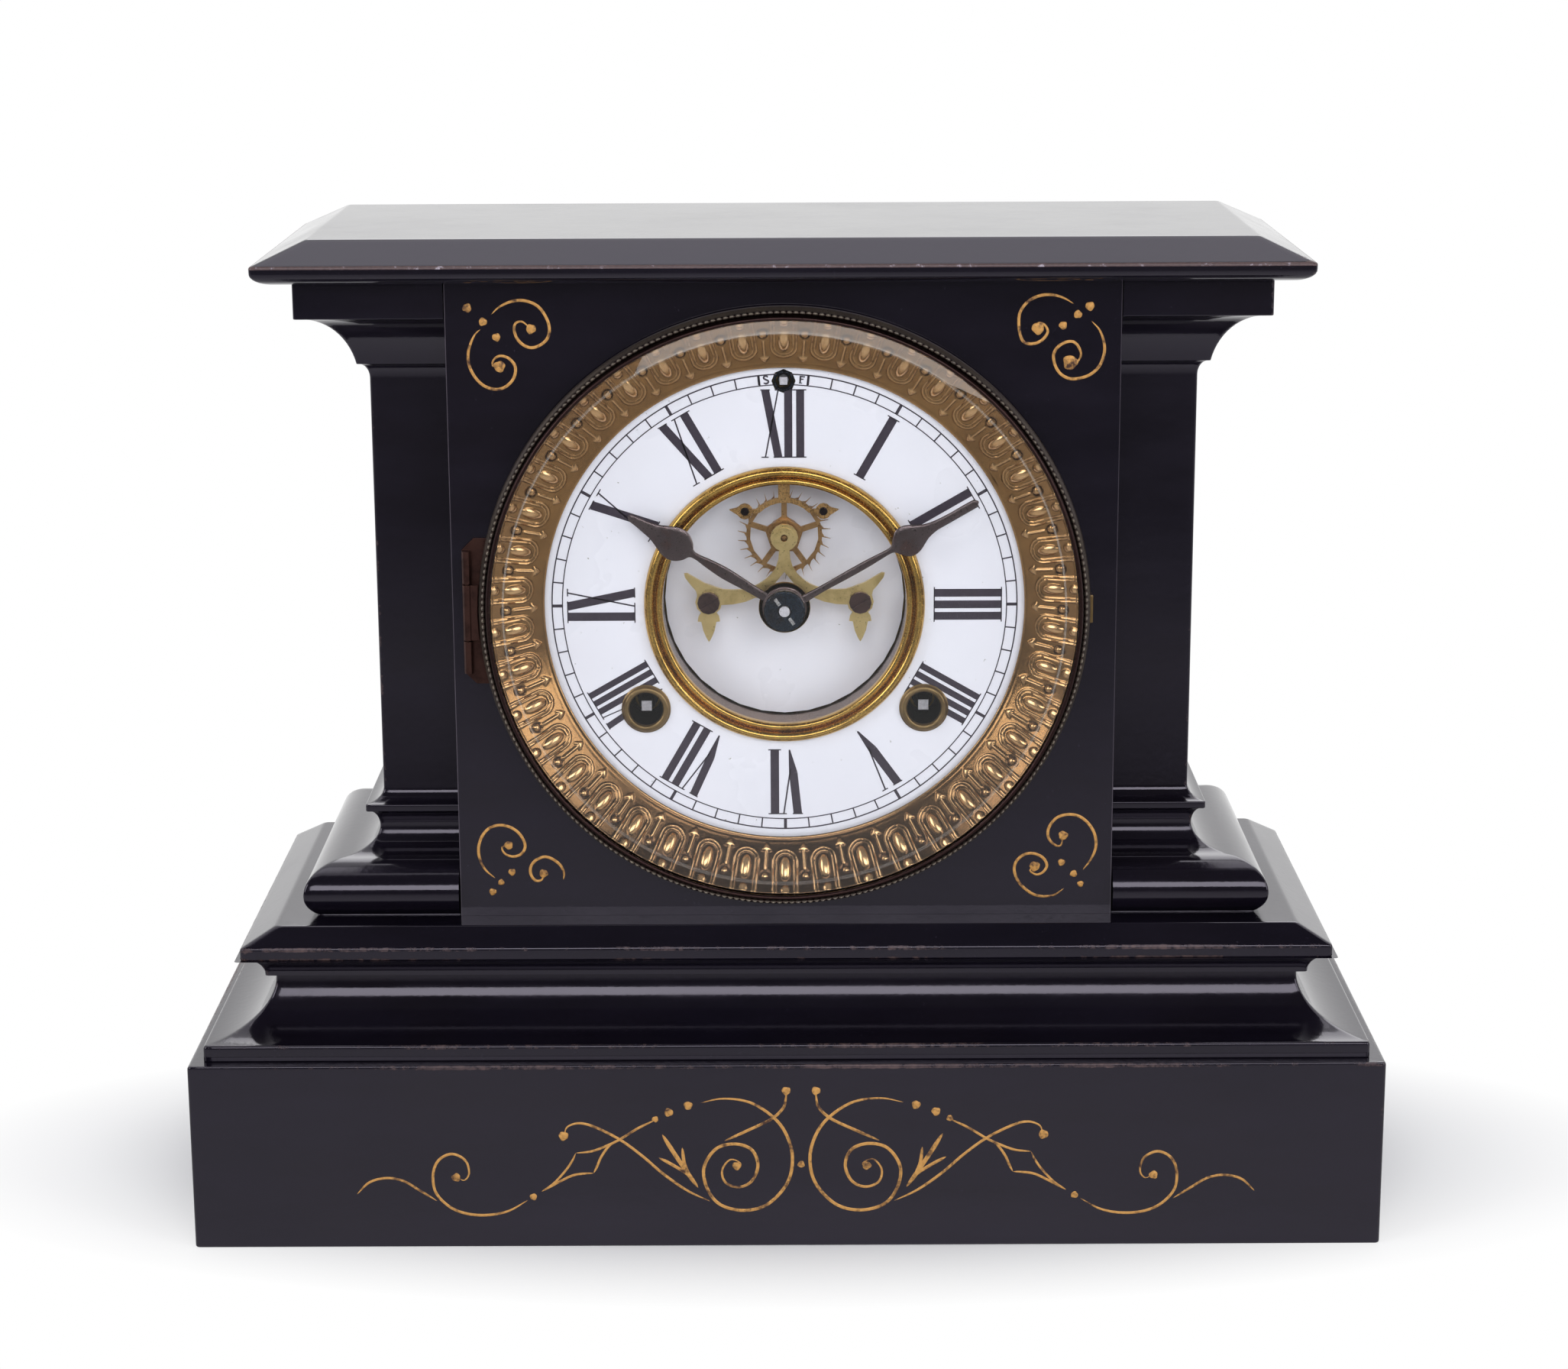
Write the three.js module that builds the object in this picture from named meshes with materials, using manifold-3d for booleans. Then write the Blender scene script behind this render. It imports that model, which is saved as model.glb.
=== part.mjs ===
// Black enamelled iron mantel clock with a porcelain dial and a visible escapement.
// Millimetres, +Z up, the dial faces -Y, the origin is the middle of the base's underside.
import * as THREE from 'three';
import { mergeVertices } from 'three/addons/utils/BufferGeometryUtils.js';
import Module from 'manifold-3d';

const wasm = await Module();
wasm.setup();

// Gaps and allowances shared by all pieces
const seatGap = 0.3;
const runGap = 0.3;
const cutOverrun = 1;
const meshClearance = 0.15;

// Base casting: an open-bottomed box
const baseWidth = 300;
const baseDepth = 127.6;
const baseHeight = 48.5;
const baseWall = 5;
const baseOpeningWidth = 120;
const baseOpeningDepth = 61;

// Plinth moulding between the base and the slab: lip, hollow curve and bed mould
const lipSetback = 3.6;
const lipHeight = 4.1;
const scotiaSpread = 16.5;
const scotiaHeight = 13;
const bedFillet = 2.4;
const bedStep = 0.9;
const bedSpread = 6.6;
const bedHeight = 5.7;
const mouldingWall = 5;

// Plinth slab that the body stands on
const slabWidth = 275.2;
const slabDepth = 103.2;
const slabFascia = 3;
const slabBevelHeight = 4.8;
const slabBevelSide = 8.6;
const slabBevelFront = 4.4;
const slabOpeningDepth = 59;

// Body: two corner pilasters with their mouldings, and a front and a back panel
const bodyHeight = 161.7;
const shaftWidth = 207;
const shaftDepth = 45;
const castingWall = 4;
const footSpread = 16;
const torusSpread = 9.6;
const torusRise = 7.6;
const torusMiddle = 5.9;
const lowScotiaSpread = 8.4;
const lowScotiaHeight = 6;
const neckSpread = 1.1;
const ringCoveHeight = 4.6;
const ringSpread = 4.3;
const ringHeight = 1.8;
const apophygeHeight = 3.4;
const capBlockHeight = 9.3;
const capBlockSpread = 16.3;
const cavettoHeight = 12.9;
const neckCoveSpread = 2.9;
const neckCoveHeight = 3.9;
const panelWidth = 165.4;
const panelFront = 39.3;
const panelFlangeDepth = 20.8;

// Roof slab
const roofWidth = 257;
const roofDepth = 99.6;
const roofOvoloHeight = 3.2;
const roofOvoloSpread = 6;
const roofFascia = 1.5;
const roofBevelHeight = 5.9;
const roofBevelSide = 13;
const roofBevelFront = 7.8;
const roofRecess = 5.6;
const roofRim = 16;

// Two tie rods that pull the roof down on the base
const rodRadius = 2.4;
const rodX = 91;
const rodBossRadius = 5.4;
const rodTail = 9;
const nutAcross = 5.6;
const nutHeight = 3.6;

// Dial: heights are above the slab's top, forward distances are from the case's middle plane
const dialAboveSlab = 79.7;
const dialFront = 33.8;
const dialThickness = 1.6;
const chapterOuter = 70.9;
const chapterInner = 33;
const panSheet = 0.8;
const panWallRadius = 71.2;
const panFlangeRadius = 75.2;
const panSeatRadius = 49;
const panelHoleRadius = 72.4;
const wellRadius = 30.5;
const wellWall = 0.8;
const wellRingRadius = 35.2;
const wellRingRise = 1.8;
const wellFlange = 3;
const wellFront = 24.2;
const centreDialThickness = 1.4;

// Door: bezel with a bevelled glass and an embossed ring behind it
const bezelRadius = 76;
const bezelLipRadius = 73.3;
const bezelWall = 1.8;
const bezelDepth = 4.5;
const bezelBack = 40.8;
const bezelBeadDrop = 1.2;
const glassRadius = 73.9;
const glassBack = 43.2;
const glassEdge = 1.3;
const glassThickness = 2.4;
const glassBevel = 4;
const sightInner = 60;
const sightOuter = 72.8;
const sightInnerForward = 35;
const sightOuterForward = 42.5;
const sightSheet = 0.7;
const sightRelief = 0.9;
const sightEggs = 42;
const hingeX = 78.7;
const hingeForward = 41.75;
const knuckleRadius = 1.15;
const hingePinRadius = 0.5;
const hingeHeight = 37;
const doorKnuckleHeight = 14;
const hingeLeafSheet = 0.7;
const hingeLeafEdge = 80;
const hingeChamfer = 3;
const catchWidth = 7;
const catchReach = 1.2;

// Movement frame
const plateFront = 20;
const plateThickness = 1.8;
const plateGap = 32;
const plateHalfWidth = 61;
const plateBottom = 54;
const plateTop = 46;
const plateWaist = 7;
const plateCorner = 9;
const earHalfWidth = 7;
const earTop = 61;
const sideWindowInner = 26;
const sideWindowOuter = 46;
const sideWindowBottom = 16;
const sideWindowTop = 34;
const lowWindowHalf = 8;
const lowWindowDrop = 46;
const lowWindowHeight = 16;
const windowSlant = 2.5;
const pillarRadius = 2.6;
const lowPillarX = 56;
const lowPillarDrop = 49;
const topPillarX = 51;
const topPillarRise = 39;
const footScrewX = 72;
const footScrewRise = 66;
const footWidth = 8;
const footSheet = 1.5;
const footBossRadius = 5;

// Arbors: places are measured from the dial's centre
const windingX = 35;
const windingDrop = 26.6;
const windingArborRadius = 3;
const windingSquare = 2.7;
const windingFront = 31;
const springWidth = 17.6;
const springOuter = 21.5;
const springInner = 3.45;
const springStrip = 0.6;
const springFront = 16.8;
const springTurns = 4;
const ratchetRadius = 8.2;
const ratchetToothDepth = 1.2;
const ratchetThickness = 1.5;
const wheelSheet = 1.2;
const greatWheelSheet = 1.6;
const arborRadius = 1;
const fineArborRadius = 0.7;
const pivotRadius = 0.6;
const pivotHole = 0.95;
const centreArborRadius = 1.4;
const centreBore = 1.85;
const centreTubeRadius = 2.7;
const hourPipeRadius = 3.2;
const plateHourHole = 3.8;

// Wheel trains: modules in millimetres, teeth as counts
const greatModule = 1.05;
const secondModule = 0.8;
const centreModule = 0.42;
const thirdModule = 0.34;
const strikeModule = 0.82;
const warningModule = 0.7;
const flyModule = 0.66;
const hourModule = 0.66;
const greatTeeth = 48;
const secondPinion = 8;
const secondTeeth = 30;
const centrePinion = 12;
const centreTeeth = 72;
const thirdPinion = 6;
const thirdTeeth = 78;
const escapePinion = 6;
const strikeSecondTeeth = 36;
const strikeThirdPinion = 6;
const strikeThirdTeeth = 30;
const warningPinion = 6;
const warningTeeth = 24;
const flyPinion = 6;
const cannonTeeth = 10;
const minuteTeeth = 30;
const minutePinion = 6;
const hourTeeth = 24;
const addendumShare = 0.6;
const dedendumShare = 1.2;
const openMeshGap = 0.2;
const rimShare = 2.6;
const spokeBase = 1.2;

// Forward places of the wheels between the plates
const greatWheelBack = -5.4;
const secondPinionBack = -7;
const secondPinionLength = 4.6;
const secondWheelBack = -10.2;
const centrePinionBack = -11.4;
const centrePinionLength = 3.4;
const centreWheelBack = 8;
const thirdPinionBack = 7;
const thirdPinionLength = 3.4;
const thirdWheelBack = -1.6;
const escapePinionBack = -2.6;
const escapePinionLength = 3.4;
const strikeThirdPinionBack = -11.4;
const strikeThirdPinionLength = 3.6;
const strikeThirdWheelBack = 3;
const warningPinionBack = 1.8;
const warningPinionLength = 3.4;
const warningWheelBack = -4;
const flyPinionBack = -5;
const flyPinionLength = 3.4;
const minuteWheelBack = 13.2;
const cannonPinionBack = 12.6;
const cannonPinionLength = 2.2;
const hourWheelBack = 16.2;
const minutePinionLength = 4.4;

// Fly and hammer
const flyRadius = 7;
const flyLength = 9;
const flySheet = 0.5;
const flyBladeBack = 6;
const hammerX = 50;
const hammerDrop = 2;
const hammerHeadX = 37;
const hammerHeadDrop = 44;
const hammerHeadRadius = 3.6;
const hammerHeadLength = 7;
const hammerArmWidth = 2.2;
const hammerArmSheet = 1.4;
const hammerHeadBack = -33;

// Coil gong and its stand
const gongDrop = 42;
const gongOuter = 32;
const gongInner = 7;
const gongStrip = 1.2;
const gongWidth = 3.5;
const gongFront = -28;
const gongTurns = 4;
const gongHubRadius = 5;
const gongPostWidth = 8;
const gongPostDepth = 3;
const gongFootHeight = 4;
const gongFootWidth = 18;
const gongFootDepth = 8;

// Visible escapement
const escapeRise = 17;
const escapeTipRadius = 11.7;
const escapeRoot = 9.5;
const escapeRim = 8.6;
const escapeHub = 4.7;
const escapeSpoke = 1.4;
const escapeTeeth = 30;
const escapeBack = 28.6;
const escapeSheet = 0.8;
const toothRootWidth = 1.1;
const toothWaistWidth = 0.2;
const toothUndercut = 0.25;
const toothWaistShare = 0.25;
const escapeRestDegrees = 7;
const escapeBoss = 4.2;
const escapeBossDepth = 0.9;
const palletHalfAngle = 57;
const palletRadius = 0.7;
const palletBossRadius = 2;
const palletRivet = 0.95;
const palletRivetRise = 0.25;
const palletBack = 28.1;
const anchorBack = 30.5;
const anchorSheet = 1;
const anchorInner = 8.6;
const anchorOuter = 9.9;
const anchorStem = 2.9;
const anchorTip = 1.9;
const anchorTipRise = 0.45;
const vergeArborRadius = 1;
const vergeFront = 31.8;
const vergeBack = -18.6;
const vergeBoss = 2.6;
const crutchWidth = 2.2;
const crutchSheet = 1.2;
const crutchFront = -16.6;
const crutchLength = 30;
const crutchForkDepth = 7;
const wellNotch = 5;

// Bridge in front of the escape wheel
const bridgeBack = 32;
const bridgeSheet = 1.2;
const bridgeHub = 3.45;
const bridgeHubFace = 2.65;
const bridgeHubRise = 0.35;
const bridgeRing = 6.3;
const bridgeScrewX = 19;
const bridgeScrewRise = 0.6;
const bridgeBoss = 3.35;
const bridgePost = 2.2;
const bridgeBore = 4.4;
const bridgeBoreApex = 8.3;
const bridgeScrewHead = 2.8;
const bridgeScrewRiseForward = 1.4;
const screwSlot = 0.6;
const hornReach = 6.1;
const hornRise = 7.4;
const leafDrop = 10.2;
const leafHalfWidth = 2.8;

// Hands and their nut
const minuteLength = 55.2;
const minutePadAt = 34.7;
const minutePadRadius = 4;
const minuteRootWidth = 1.7;
const minuteNeckWidth = 1;
const minuteAngle = 60.5;
const hourLength = 45.3;
const hourPadAt = 31;
const hourPadRadius = 4.3;
const hourRootWidth = 2.2;
const hourNeckWidth = 1.1;
const hourAngle = -58.7;
const handSheet = 0.7;
const handTipWidth = 0.6;
const minuteHandBack = 38.9;
const hourHandBack = 37.3;
const minuteHubRadius = 3.6;
const hourHubRadius = 5;
const hourCollarRadius = 6.4;
const hourCollarBack = 35.9;
const hourCollarDepth = 1;
const nutRadius = 5.2;
const nutThickness = 1.6;
const nutBack = 39.9;
const centreArborFront = 41.9;
const crossPinWidth = 0.8;
const crossPinLength = 8;
const crossPinDegrees = 126;

// Winding-hole and regulator rings
const grommetOuter = 6.2;
const grommetInner = 4.2;
const grommetTube = 4.9;
const grommetRise = 1;
const regulatorRise = 56.5;
const regulatorRingOuter = 2.8;
const regulatorRingInner = 2;
const regulatorHole = 3;
const regulatorArborRadius = 1.3;
const regulatorSquare = 1.9;
const regulatorFront = 33.6;
const eccentricRadius = 3;
const eccentricThrow = 1.5;
const eccentricPin = 0.7;

// Suspension and pendulum
const pendulumLength = 147;
const pendulumForward = -23;
const suspensionStrip = 0.3;
const suspensionWidth = 5;
const suspensionTop = 12;
const postRise = 9.5;
const postHeight = 4;
const postWidth = 7;
const slideRise = 2.4;
const slideHeight = 3;
const slideHalfWidth = 3.2;
const slideBar = 1.8;
const slideBarForward = -21;
const slideSheet = 1.4;
const yokeHalfWidth = 4;
const yokeHalfHeight = 2.8;
const ferruleWidth = 3;
const ferruleHeight = 7;
const pendulumRodRadius = 0.8;
const bobRadius = 19;
const bobThickness = 9;
const bobLensAngles = [60, 25, -25, -60];
const bobLensFullness = 0.55;
const bobEye = 2.2;
const bobEyeRise = 5;
const ratingNutRadius = 2.6;
const ratingNutHeight = 2;

// Back door
const backHoleRadius = 52;
const backDoorRadius = 55;
const backSheet = 0.8;
const backHingeX = 57.6;
const backKnuckleRadius = 1.3;
const backKnuckleHeight = 8;
const backPinRadius = 0.55;
const backKnobX = 46;
const backKnobRadius = 4.5;
const backKnobHeight = 7;

// Derived heights and radii
const slabBottom = baseHeight + lipHeight + scotiaHeight + bedStep + bedHeight;
const slabTop = slabBottom + slabFascia + slabBevelHeight;
const bodyTop = slabTop + bodyHeight;
const dialHeight = slabTop + dialAboveSlab;
const panelBack = panelFront - castingWall;
const backPlateFront = plateFront - plateThickness - plateGap;
const backPlateBack = backPlateFront - plateThickness;
const frontPlateBack = plateFront - plateThickness;
const vergeRise = escapeRise + escapeTipRadius / Math.cos(THREE.MathUtils.degToRad(palletHalfAngle));

// Shape helpers
const steps = (count) => Array.from({ length: count }, (_, index) => index);
const turn = 2 * Math.PI;
const radians = THREE.MathUtils.degToRad;
const point = (x, y) => new THREE.Vector2(x, y);
const polar = (radius, angle) => point(radius * Math.cos(angle), radius * Math.sin(angle));
const shifted = (points, x, y) => points.map((p) => point(p.x + x, p.y + y));
const mirrored = (points) => points.map((p) => point(-p.x, p.y)).reverse();

function circle(radius, sides, x = 0, y = 0) {
  return shifted(steps(sides).map((i) => polar(radius, (turn * i) / sides)), x, y);
}

function rectangle(x0, y0, x1, y1) {
  return [point(x0, y0), point(x1, y0), point(x1, y1), point(x0, y1)];
}

// Part of a circle from one angle to another, both ends included
function arc(radius, from, to, count, x = 0, y = 0) {
  const angle = (i) => from + ((to - from) * i) / count;
  return shifted(steps(count + 1).map((i) => polar(radius, angle(i))), x, y);
}

// A band of even width along a straight line
function strip(from, to, width) {
  const side = to.clone().sub(from).normalize().rotateAround(point(0, 0), Math.PI / 2);
  side.multiplyScalar(width / 2);
  return [from.clone().sub(side), to.clone().sub(side), to.clone().add(side), from.clone().add(side)];
}

// Signed volume decides whether the faces point outwards
function outward(geometry) {
  const place = geometry.attributes.position;
  const index = [...geometry.index.array];
  const [a, b, c] = [new THREE.Vector3(), new THREE.Vector3(), new THREE.Vector3()];
  let volume = 0;
  for (let i = 0; i < index.length; i += 3) {
    a.fromBufferAttribute(place, index[i]);
    b.fromBufferAttribute(place, index[i + 1]);
    c.fromBufferAttribute(place, index[i + 2]);
    volume += a.dot(b.cross(c));
  }
  if (volume < 0) index.reverse();
  geometry.setIndex(index);
  return geometry;
}

function welded(geometry) {
  const bare = geometry.clone();
  bare.deleteAttribute('normal');
  bare.deleteAttribute('uv');
  return outward(mergeVertices(bare));
}

function toSolid(geometry) {
  const bare = welded(geometry);
  return new wasm.Manifold(new wasm.Mesh({
    numProp: 3,
    vertProperties: Float32Array.from(bare.attributes.position.array),
    triVerts: Uint32Array.from(bare.index.array),
  }));
}

function fromSolid(solid) {
  const result = solid.getMesh();
  const geometry = new THREE.BufferGeometry();
  geometry.setAttribute('position', new THREE.BufferAttribute(Float32Array.from(result.vertProperties), 3));
  geometry.setIndex([...result.triVerts]);
  return geometry;
}

const join = (...pieces) => fromSolid(pieces.map(toSolid).reduce((a, b) => a.add(b)));
const cut = (piece, ...tools) => fromSolid(tools.map(toSolid).reduce((a, b) => a.subtract(b), toSolid(piece)));

// A flat piece: an outline with holes, lying between two forward places
function plate(outline, holes, back, front) {
  const shape = new THREE.Shape(outline);
  holes.forEach((hole) => shape.holes.push(new THREE.Path(hole)));
  const geometry = new THREE.ExtrudeGeometry(shape, { depth: front - back, bevelEnabled: false });
  return welded(geometry.translate(0, 0, back));
}

const rod = (radius, sides, back, front, x = 0, y = 0) => plate(circle(radius, sides, x, y), [], back, front);

// A piece turned about the dial's axis from points of radius and forward place
function turned(profile, sides) {
  const geometry = new THREE.LatheGeometry(profile.map(([r, f]) => point(r, f)), sides);
  return welded(geometry.rotateX(Math.PI / 2));
}

// Triangles that close a flat end, all wound like its outline
function capTriangles(contour) {
  const around = Math.sign(THREE.ShapeUtils.area(contour));
  return THREE.ShapeUtils.triangulateShape(contour, []).map(([a, b, c]) => {
    const same = Math.sign(THREE.ShapeUtils.area([contour[a], contour[b], contour[c]])) === around;
    return same ? [a, b, c] : [a, c, b];
  });
}

// A skin over a row of equal sections: it closes on itself, or its ends are capped
function skin(sections, caps) {
  const size = sections[0].length;
  const position = sections.flat().flatMap((p) => [p.x, p.y, p.z]);
  const spans = caps ? sections.length - 1 : sections.length;
  const index = [];
  for (const i of steps(spans)) {
    const near = i * size;
    const far = ((i + 1) % sections.length) * size;
    for (const j of steps(size)) {
      const next = (j + 1) % size;
      index.push(near + j, near + next, far + next, near + j, far + next, far + j);
    }
  }
  if (caps) {
    const last = (sections.length - 1) * size;
    caps.forEach(([a, b, c]) => index.push(a, c, b, last + a, last + b, last + c));
  }
  const geometry = new THREE.BufferGeometry();
  geometry.setAttribute('position', new THREE.BufferAttribute(new Float32Array(position), 3));
  geometry.setIndex(index);
  return outward(geometry);
}

// One mitred rectangle: half-width, half-depth and height
function rectangleLoop([halfWidth, halfDepth, height]) {
  return [[-1, -1], [1, -1], [1, 1], [-1, 1]].map(
    ([x, y]) => new THREE.Vector3(x * halfWidth, y * halfDepth, height),
  );
}

const squareCap = [[0, 1, 2], [0, 2, 3]];
const mitredStack = (profile) => skin(profile.map(rectangleLoop), squareCap);
const mitredRing = (profile) => skin(profile.map(rectangleLoop), null);

// Hollow quarter curve from a wall out to a spread; the first angle flattens its start
function hollowCurve(spread, height, count, startAngle = 0) {
  const start = radians(startAngle);
  const angle = (i) => start + ((Math.PI / 2 - start) * i) / count;
  return steps(count + 1).map((i) => [
    (spread * (Math.cos(start) - Math.cos(angle(i)))) / Math.cos(start),
    (height * (Math.sin(angle(i)) - Math.sin(start))) / (1 - Math.sin(start)),
  ]);
}

function box(x0, y0, z0, x1, y1, z1) {
  return welded(new THREE.BoxGeometry(x1 - x0, y1 - y0, z1 - z0)
    .translate((x0 + x1) / 2, (y0 + y1) / 2, (z0 + z1) / 2));
}

// Vertical round bar in the case's own frame
function upright(radius, sides, x, y, bottom, top) {
  const geometry = new THREE.CylinderGeometry(radius, radius, top - bottom, sides);
  return welded(geometry.rotateX(Math.PI / 2).translate(x, y, (bottom + top) / 2));
}

// The clock and its dial-side frame: x to the right, y up, z forward, from the dial's centre
const clock = new THREE.Group();
const face = new THREE.Group();
face.position.set(0, 0, dialHeight);
face.rotation.x = Math.PI / 2;
clock.add(face);

function addPiece(parent, name, geometry, [color, roughness, metalness]) {
  const piece = new THREE.Mesh(geometry, new THREE.MeshStandardMaterial({ color, roughness, metalness }));
  piece.name = name;
  parent.add(piece);
}

const blackEnamel = ['#17151a', 0.28, 0.2];
const darkIron = ['#2a2829', 0.6, 0.7];
const steel = ['#6a6866', 0.4, 0.9];
const blueSteel = ['#2b3036', 0.35, 0.9];
const rustySteel = ['#3a2b28', 0.5, 0.8];
const brass = ['#b08d45', 0.35, 0.95];
const agedBrass = ['#7c6a45', 0.5, 0.9];
const gilt = ['#9a7440', 0.4, 0.9];
const porcelain = ['#e9eaf2', 0.15, 0];
const clearGlass = ['#dfe6e8', 0.05, 0];
const copperBrown = ['#7a4632', 0.5, 0.8];

// Base block: cast box, open below, its top pierced for the pendulum and the tie rods
const rodHoles = (bottom, top) => [-rodX, rodX].map(
  (x) => upright(rodRadius + runGap, 8, x, 0, bottom - cutOverrun, top + cutOverrun),
);
const baseHalf = [baseWidth / 2, baseDepth / 2];
const baseInside = [baseHalf[0] - baseWall, baseHalf[1] - baseWall];
const baseShell = mitredStack([
  [...baseInside, baseHeight - baseWall],
  [...baseInside, 0],
  [...baseHalf, 0],
  [...baseHalf, baseHeight],
]);
addPiece(clock, 'base_block', cut(
  baseShell,
  box(-baseOpeningWidth / 2, -baseOpeningDepth / 2, baseHeight - baseWall - cutOverrun,
    baseOpeningWidth / 2, baseOpeningDepth / 2, baseHeight + cutOverrun),
  ...rodHoles(baseHeight - baseWall, baseHeight),
), blackEnamel);

// Plinth moulding: lip, deep hollow curve, small fillet and a bed mould under the slab
const slabHalf = [slabWidth / 2, slabDepth / 2];
const lipHalf = [baseHalf[0] - lipSetback, baseHalf[1] - lipSetback];
const scotiaHalf = [lipHalf[0] - scotiaSpread, lipHalf[1] - scotiaSpread];
const scotiaBottom = baseHeight + lipHeight;
const bedBottom = scotiaBottom + scotiaHeight + bedStep;
const outset = (half, spread) => [half[0] + spread, half[1] + spread];
const plinthProfile = [
  [...lipHalf, baseHeight],
  ...hollowCurve(scotiaSpread, scotiaHeight, 9)
    .reverse()
    .map(([spread, drop]) => [...outset(scotiaHalf, spread), bedBottom - bedStep - drop]),
  ...hollowCurve(bedSpread, bedHeight, 4)
    .map(([spread, rise]) => [...outset(scotiaHalf, bedFillet + spread), bedBottom + rise]),
  [scotiaHalf[0] - mouldingWall, scotiaHalf[1] - mouldingWall, slabBottom],
  [scotiaHalf[0] - mouldingWall, scotiaHalf[1] - mouldingWall, baseHeight],
];
addPiece(clock, 'plinth_moulding', mitredRing(plinthProfile), blackEnamel);

// Plinth slab: bevelled edge, open in the middle for the pendulum and the gong
const slabTopHalf = [slabHalf[0] - slabBevelSide, slabHalf[1] - slabBevelFront];
const slabBlank = mitredStack([
  [...slabHalf, slabBottom],
  [...slabHalf, slabBottom + slabFascia],
  [...slabTopHalf, slabTop],
]);
const slabOpeningFront = panelBack - castingWall / 2;
addPiece(clock, 'plinth_slab', cut(
  slabBlank,
  box(-baseOpeningWidth / 2, -slabOpeningFront, slabBottom - cutOverrun,
    baseOpeningWidth / 2, slabOpeningDepth - slabOpeningFront, slabTop + cutOverrun),
  ...rodHoles(slabBottom, slabTop),
), blackEnamel);

// Pilaster: one moulded section carried round three sides, mitred at both outer corners
const torusTop = torusMiddle + torusRise;
const torusCentre = neckSpread + lowScotiaSpread;
const lowScotiaTop = torusTop + lowScotiaHeight;
const ringBottom = lowScotiaTop + ringCoveHeight;
const ringTop = ringBottom + ringHeight;
const capBottom = bodyHeight - capBlockHeight;
const neckTop = capBottom - cavettoHeight;
const pilasterSection = [
  point(-castingWall, 0),
  point(footSpread, 0),
  ...arc(1, radians(-48), radians(90), 8).map(
    (p) => point(torusCentre + torusSpread * p.x, torusMiddle + torusRise * p.y),
  ),
  ...hollowCurve(lowScotiaSpread, lowScotiaHeight, 5)
    .reverse()
    .slice(1)
    .map(([spread, rise]) => point(neckSpread + spread, lowScotiaTop - rise)),
  ...hollowCurve(ringSpread - neckSpread, ringCoveHeight, 4)
    .slice(1)
    .map(([spread, rise]) => point(neckSpread + spread, lowScotiaTop + rise)),
  point(ringSpread, ringTop),
  ...hollowCurve(ringSpread, apophygeHeight, 3)
    .reverse()
    .slice(1)
    .map(([spread, rise]) => point(spread, ringTop + apophygeHeight - rise)),
  ...hollowCurve(neckCoveSpread, neckCoveHeight, 3)
    .map(([spread, rise]) => point(spread, neckTop - neckCoveHeight + rise)),
  ...hollowCurve(capBlockSpread - neckCoveSpread, cavettoHeight, 7, 15)
    .slice(1)
    .map(([spread, rise]) => point(neckCoveSpread + spread, neckTop + rise)),
  point(capBlockSpread, bodyHeight),
  point(-castingWall, bodyHeight),
];
const shaftHalf = [shaftWidth / 2, shaftDepth / 2];
const pilasterEnd = panelWidth / 2 + seatGap;

function pilaster(side) {
  const corners = [
    [pilasterEnd, -shaftHalf[1], 0, -1],
    [shaftHalf[0], -shaftHalf[1], 1, -1],
    [shaftHalf[0], shaftHalf[1], 1, 1],
    [pilasterEnd, shaftHalf[1], 0, 1],
  ];
  const sections = corners.map(([x, y, outX, outY]) => pilasterSection.map(
    (p) => new THREE.Vector3(side * (x + outX * p.x), y + outY * p.x, slabTop + p.y),
  ));
  return skin(sections, capTriangles(pilasterSection));
}

addPiece(clock, 'left_pilaster', pilaster(-1), blackEnamel);
addPiece(clock, 'right_pilaster', pilaster(1), blackEnamel);

// Front and back panels: shallow castings with side flanges and a round opening
const panelHalf = panelWidth / 2;
const panelLow = -dialAboveSlab;
const panelHigh = bodyHeight - dialAboveSlab;
const panelInside = panelHalf - castingWall;
const panelOutline = rectangle(-panelHalf, panelLow, panelHalf, panelHigh);
const footPlaces = [[-1, -1], [1, -1], [1, 1], [-1, 1]].map(([x, y]) => [x * footScrewX, y * footScrewRise]);

function panelFlanges(back, front) {
  return [-1, 1].map((side) => {
    const edges = [side * panelInside, side * panelHalf].sort((a, b) => a - b);
    return plate(rectangle(edges[0], panelLow, edges[1], panelHigh), [], back, front);
  });
}

const feetFront = plateFront + seatGap + footSheet;
addPiece(face, 'front_panel', join(
  plate(panelOutline, [circle(panelHoleRadius, 40)], panelBack, panelFront),
  ...panelFlanges(panelFront - panelFlangeDepth, panelBack + castingWall / 2),
  ...footPlaces.map(([x, y]) => rod(
    footBossRadius, 8, feetFront + seatGap, panelBack + castingWall / 2, x, y,
  )),
), blackEnamel);

addPiece(face, 'back_panel', join(
  plate(panelOutline, [circle(backHoleRadius, 36)], -panelFront, -panelBack),
  ...panelFlanges(-panelBack - castingWall / 2, panelFlangeDepth - panelFront),
), blackEnamel);

// Roof slab: quarter-round underside, thin fascia, wide bevel, hollow below with two rod bosses
const roofHalf = [roofWidth / 2, roofDepth / 2];
const roofUnder = [roofHalf[0] - roofOvoloSpread, roofHalf[1] - roofOvoloSpread];
const roofInside = [roofHalf[0] - roofRim, roofHalf[1] - roofRim];
const fasciaTop = bodyTop + roofOvoloHeight + roofFascia;
const roofTop = fasciaTop + roofBevelHeight;
const roofBlank = mitredStack([
  [...roofInside, bodyTop + roofRecess],
  [...roofInside, bodyTop],
  ...arc(1, -Math.PI / 2, 0, 5).map(
    (p) => [...outset(roofUnder, roofOvoloSpread * p.x), bodyTop + roofOvoloHeight * (1 + p.y)],
  ),
  [...roofHalf, fasciaTop],
  [roofHalf[0] - roofBevelSide, roofHalf[1] - roofBevelFront, roofTop],
]);
const rodTop = bodyTop + roofRecess - seatGap;
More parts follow.
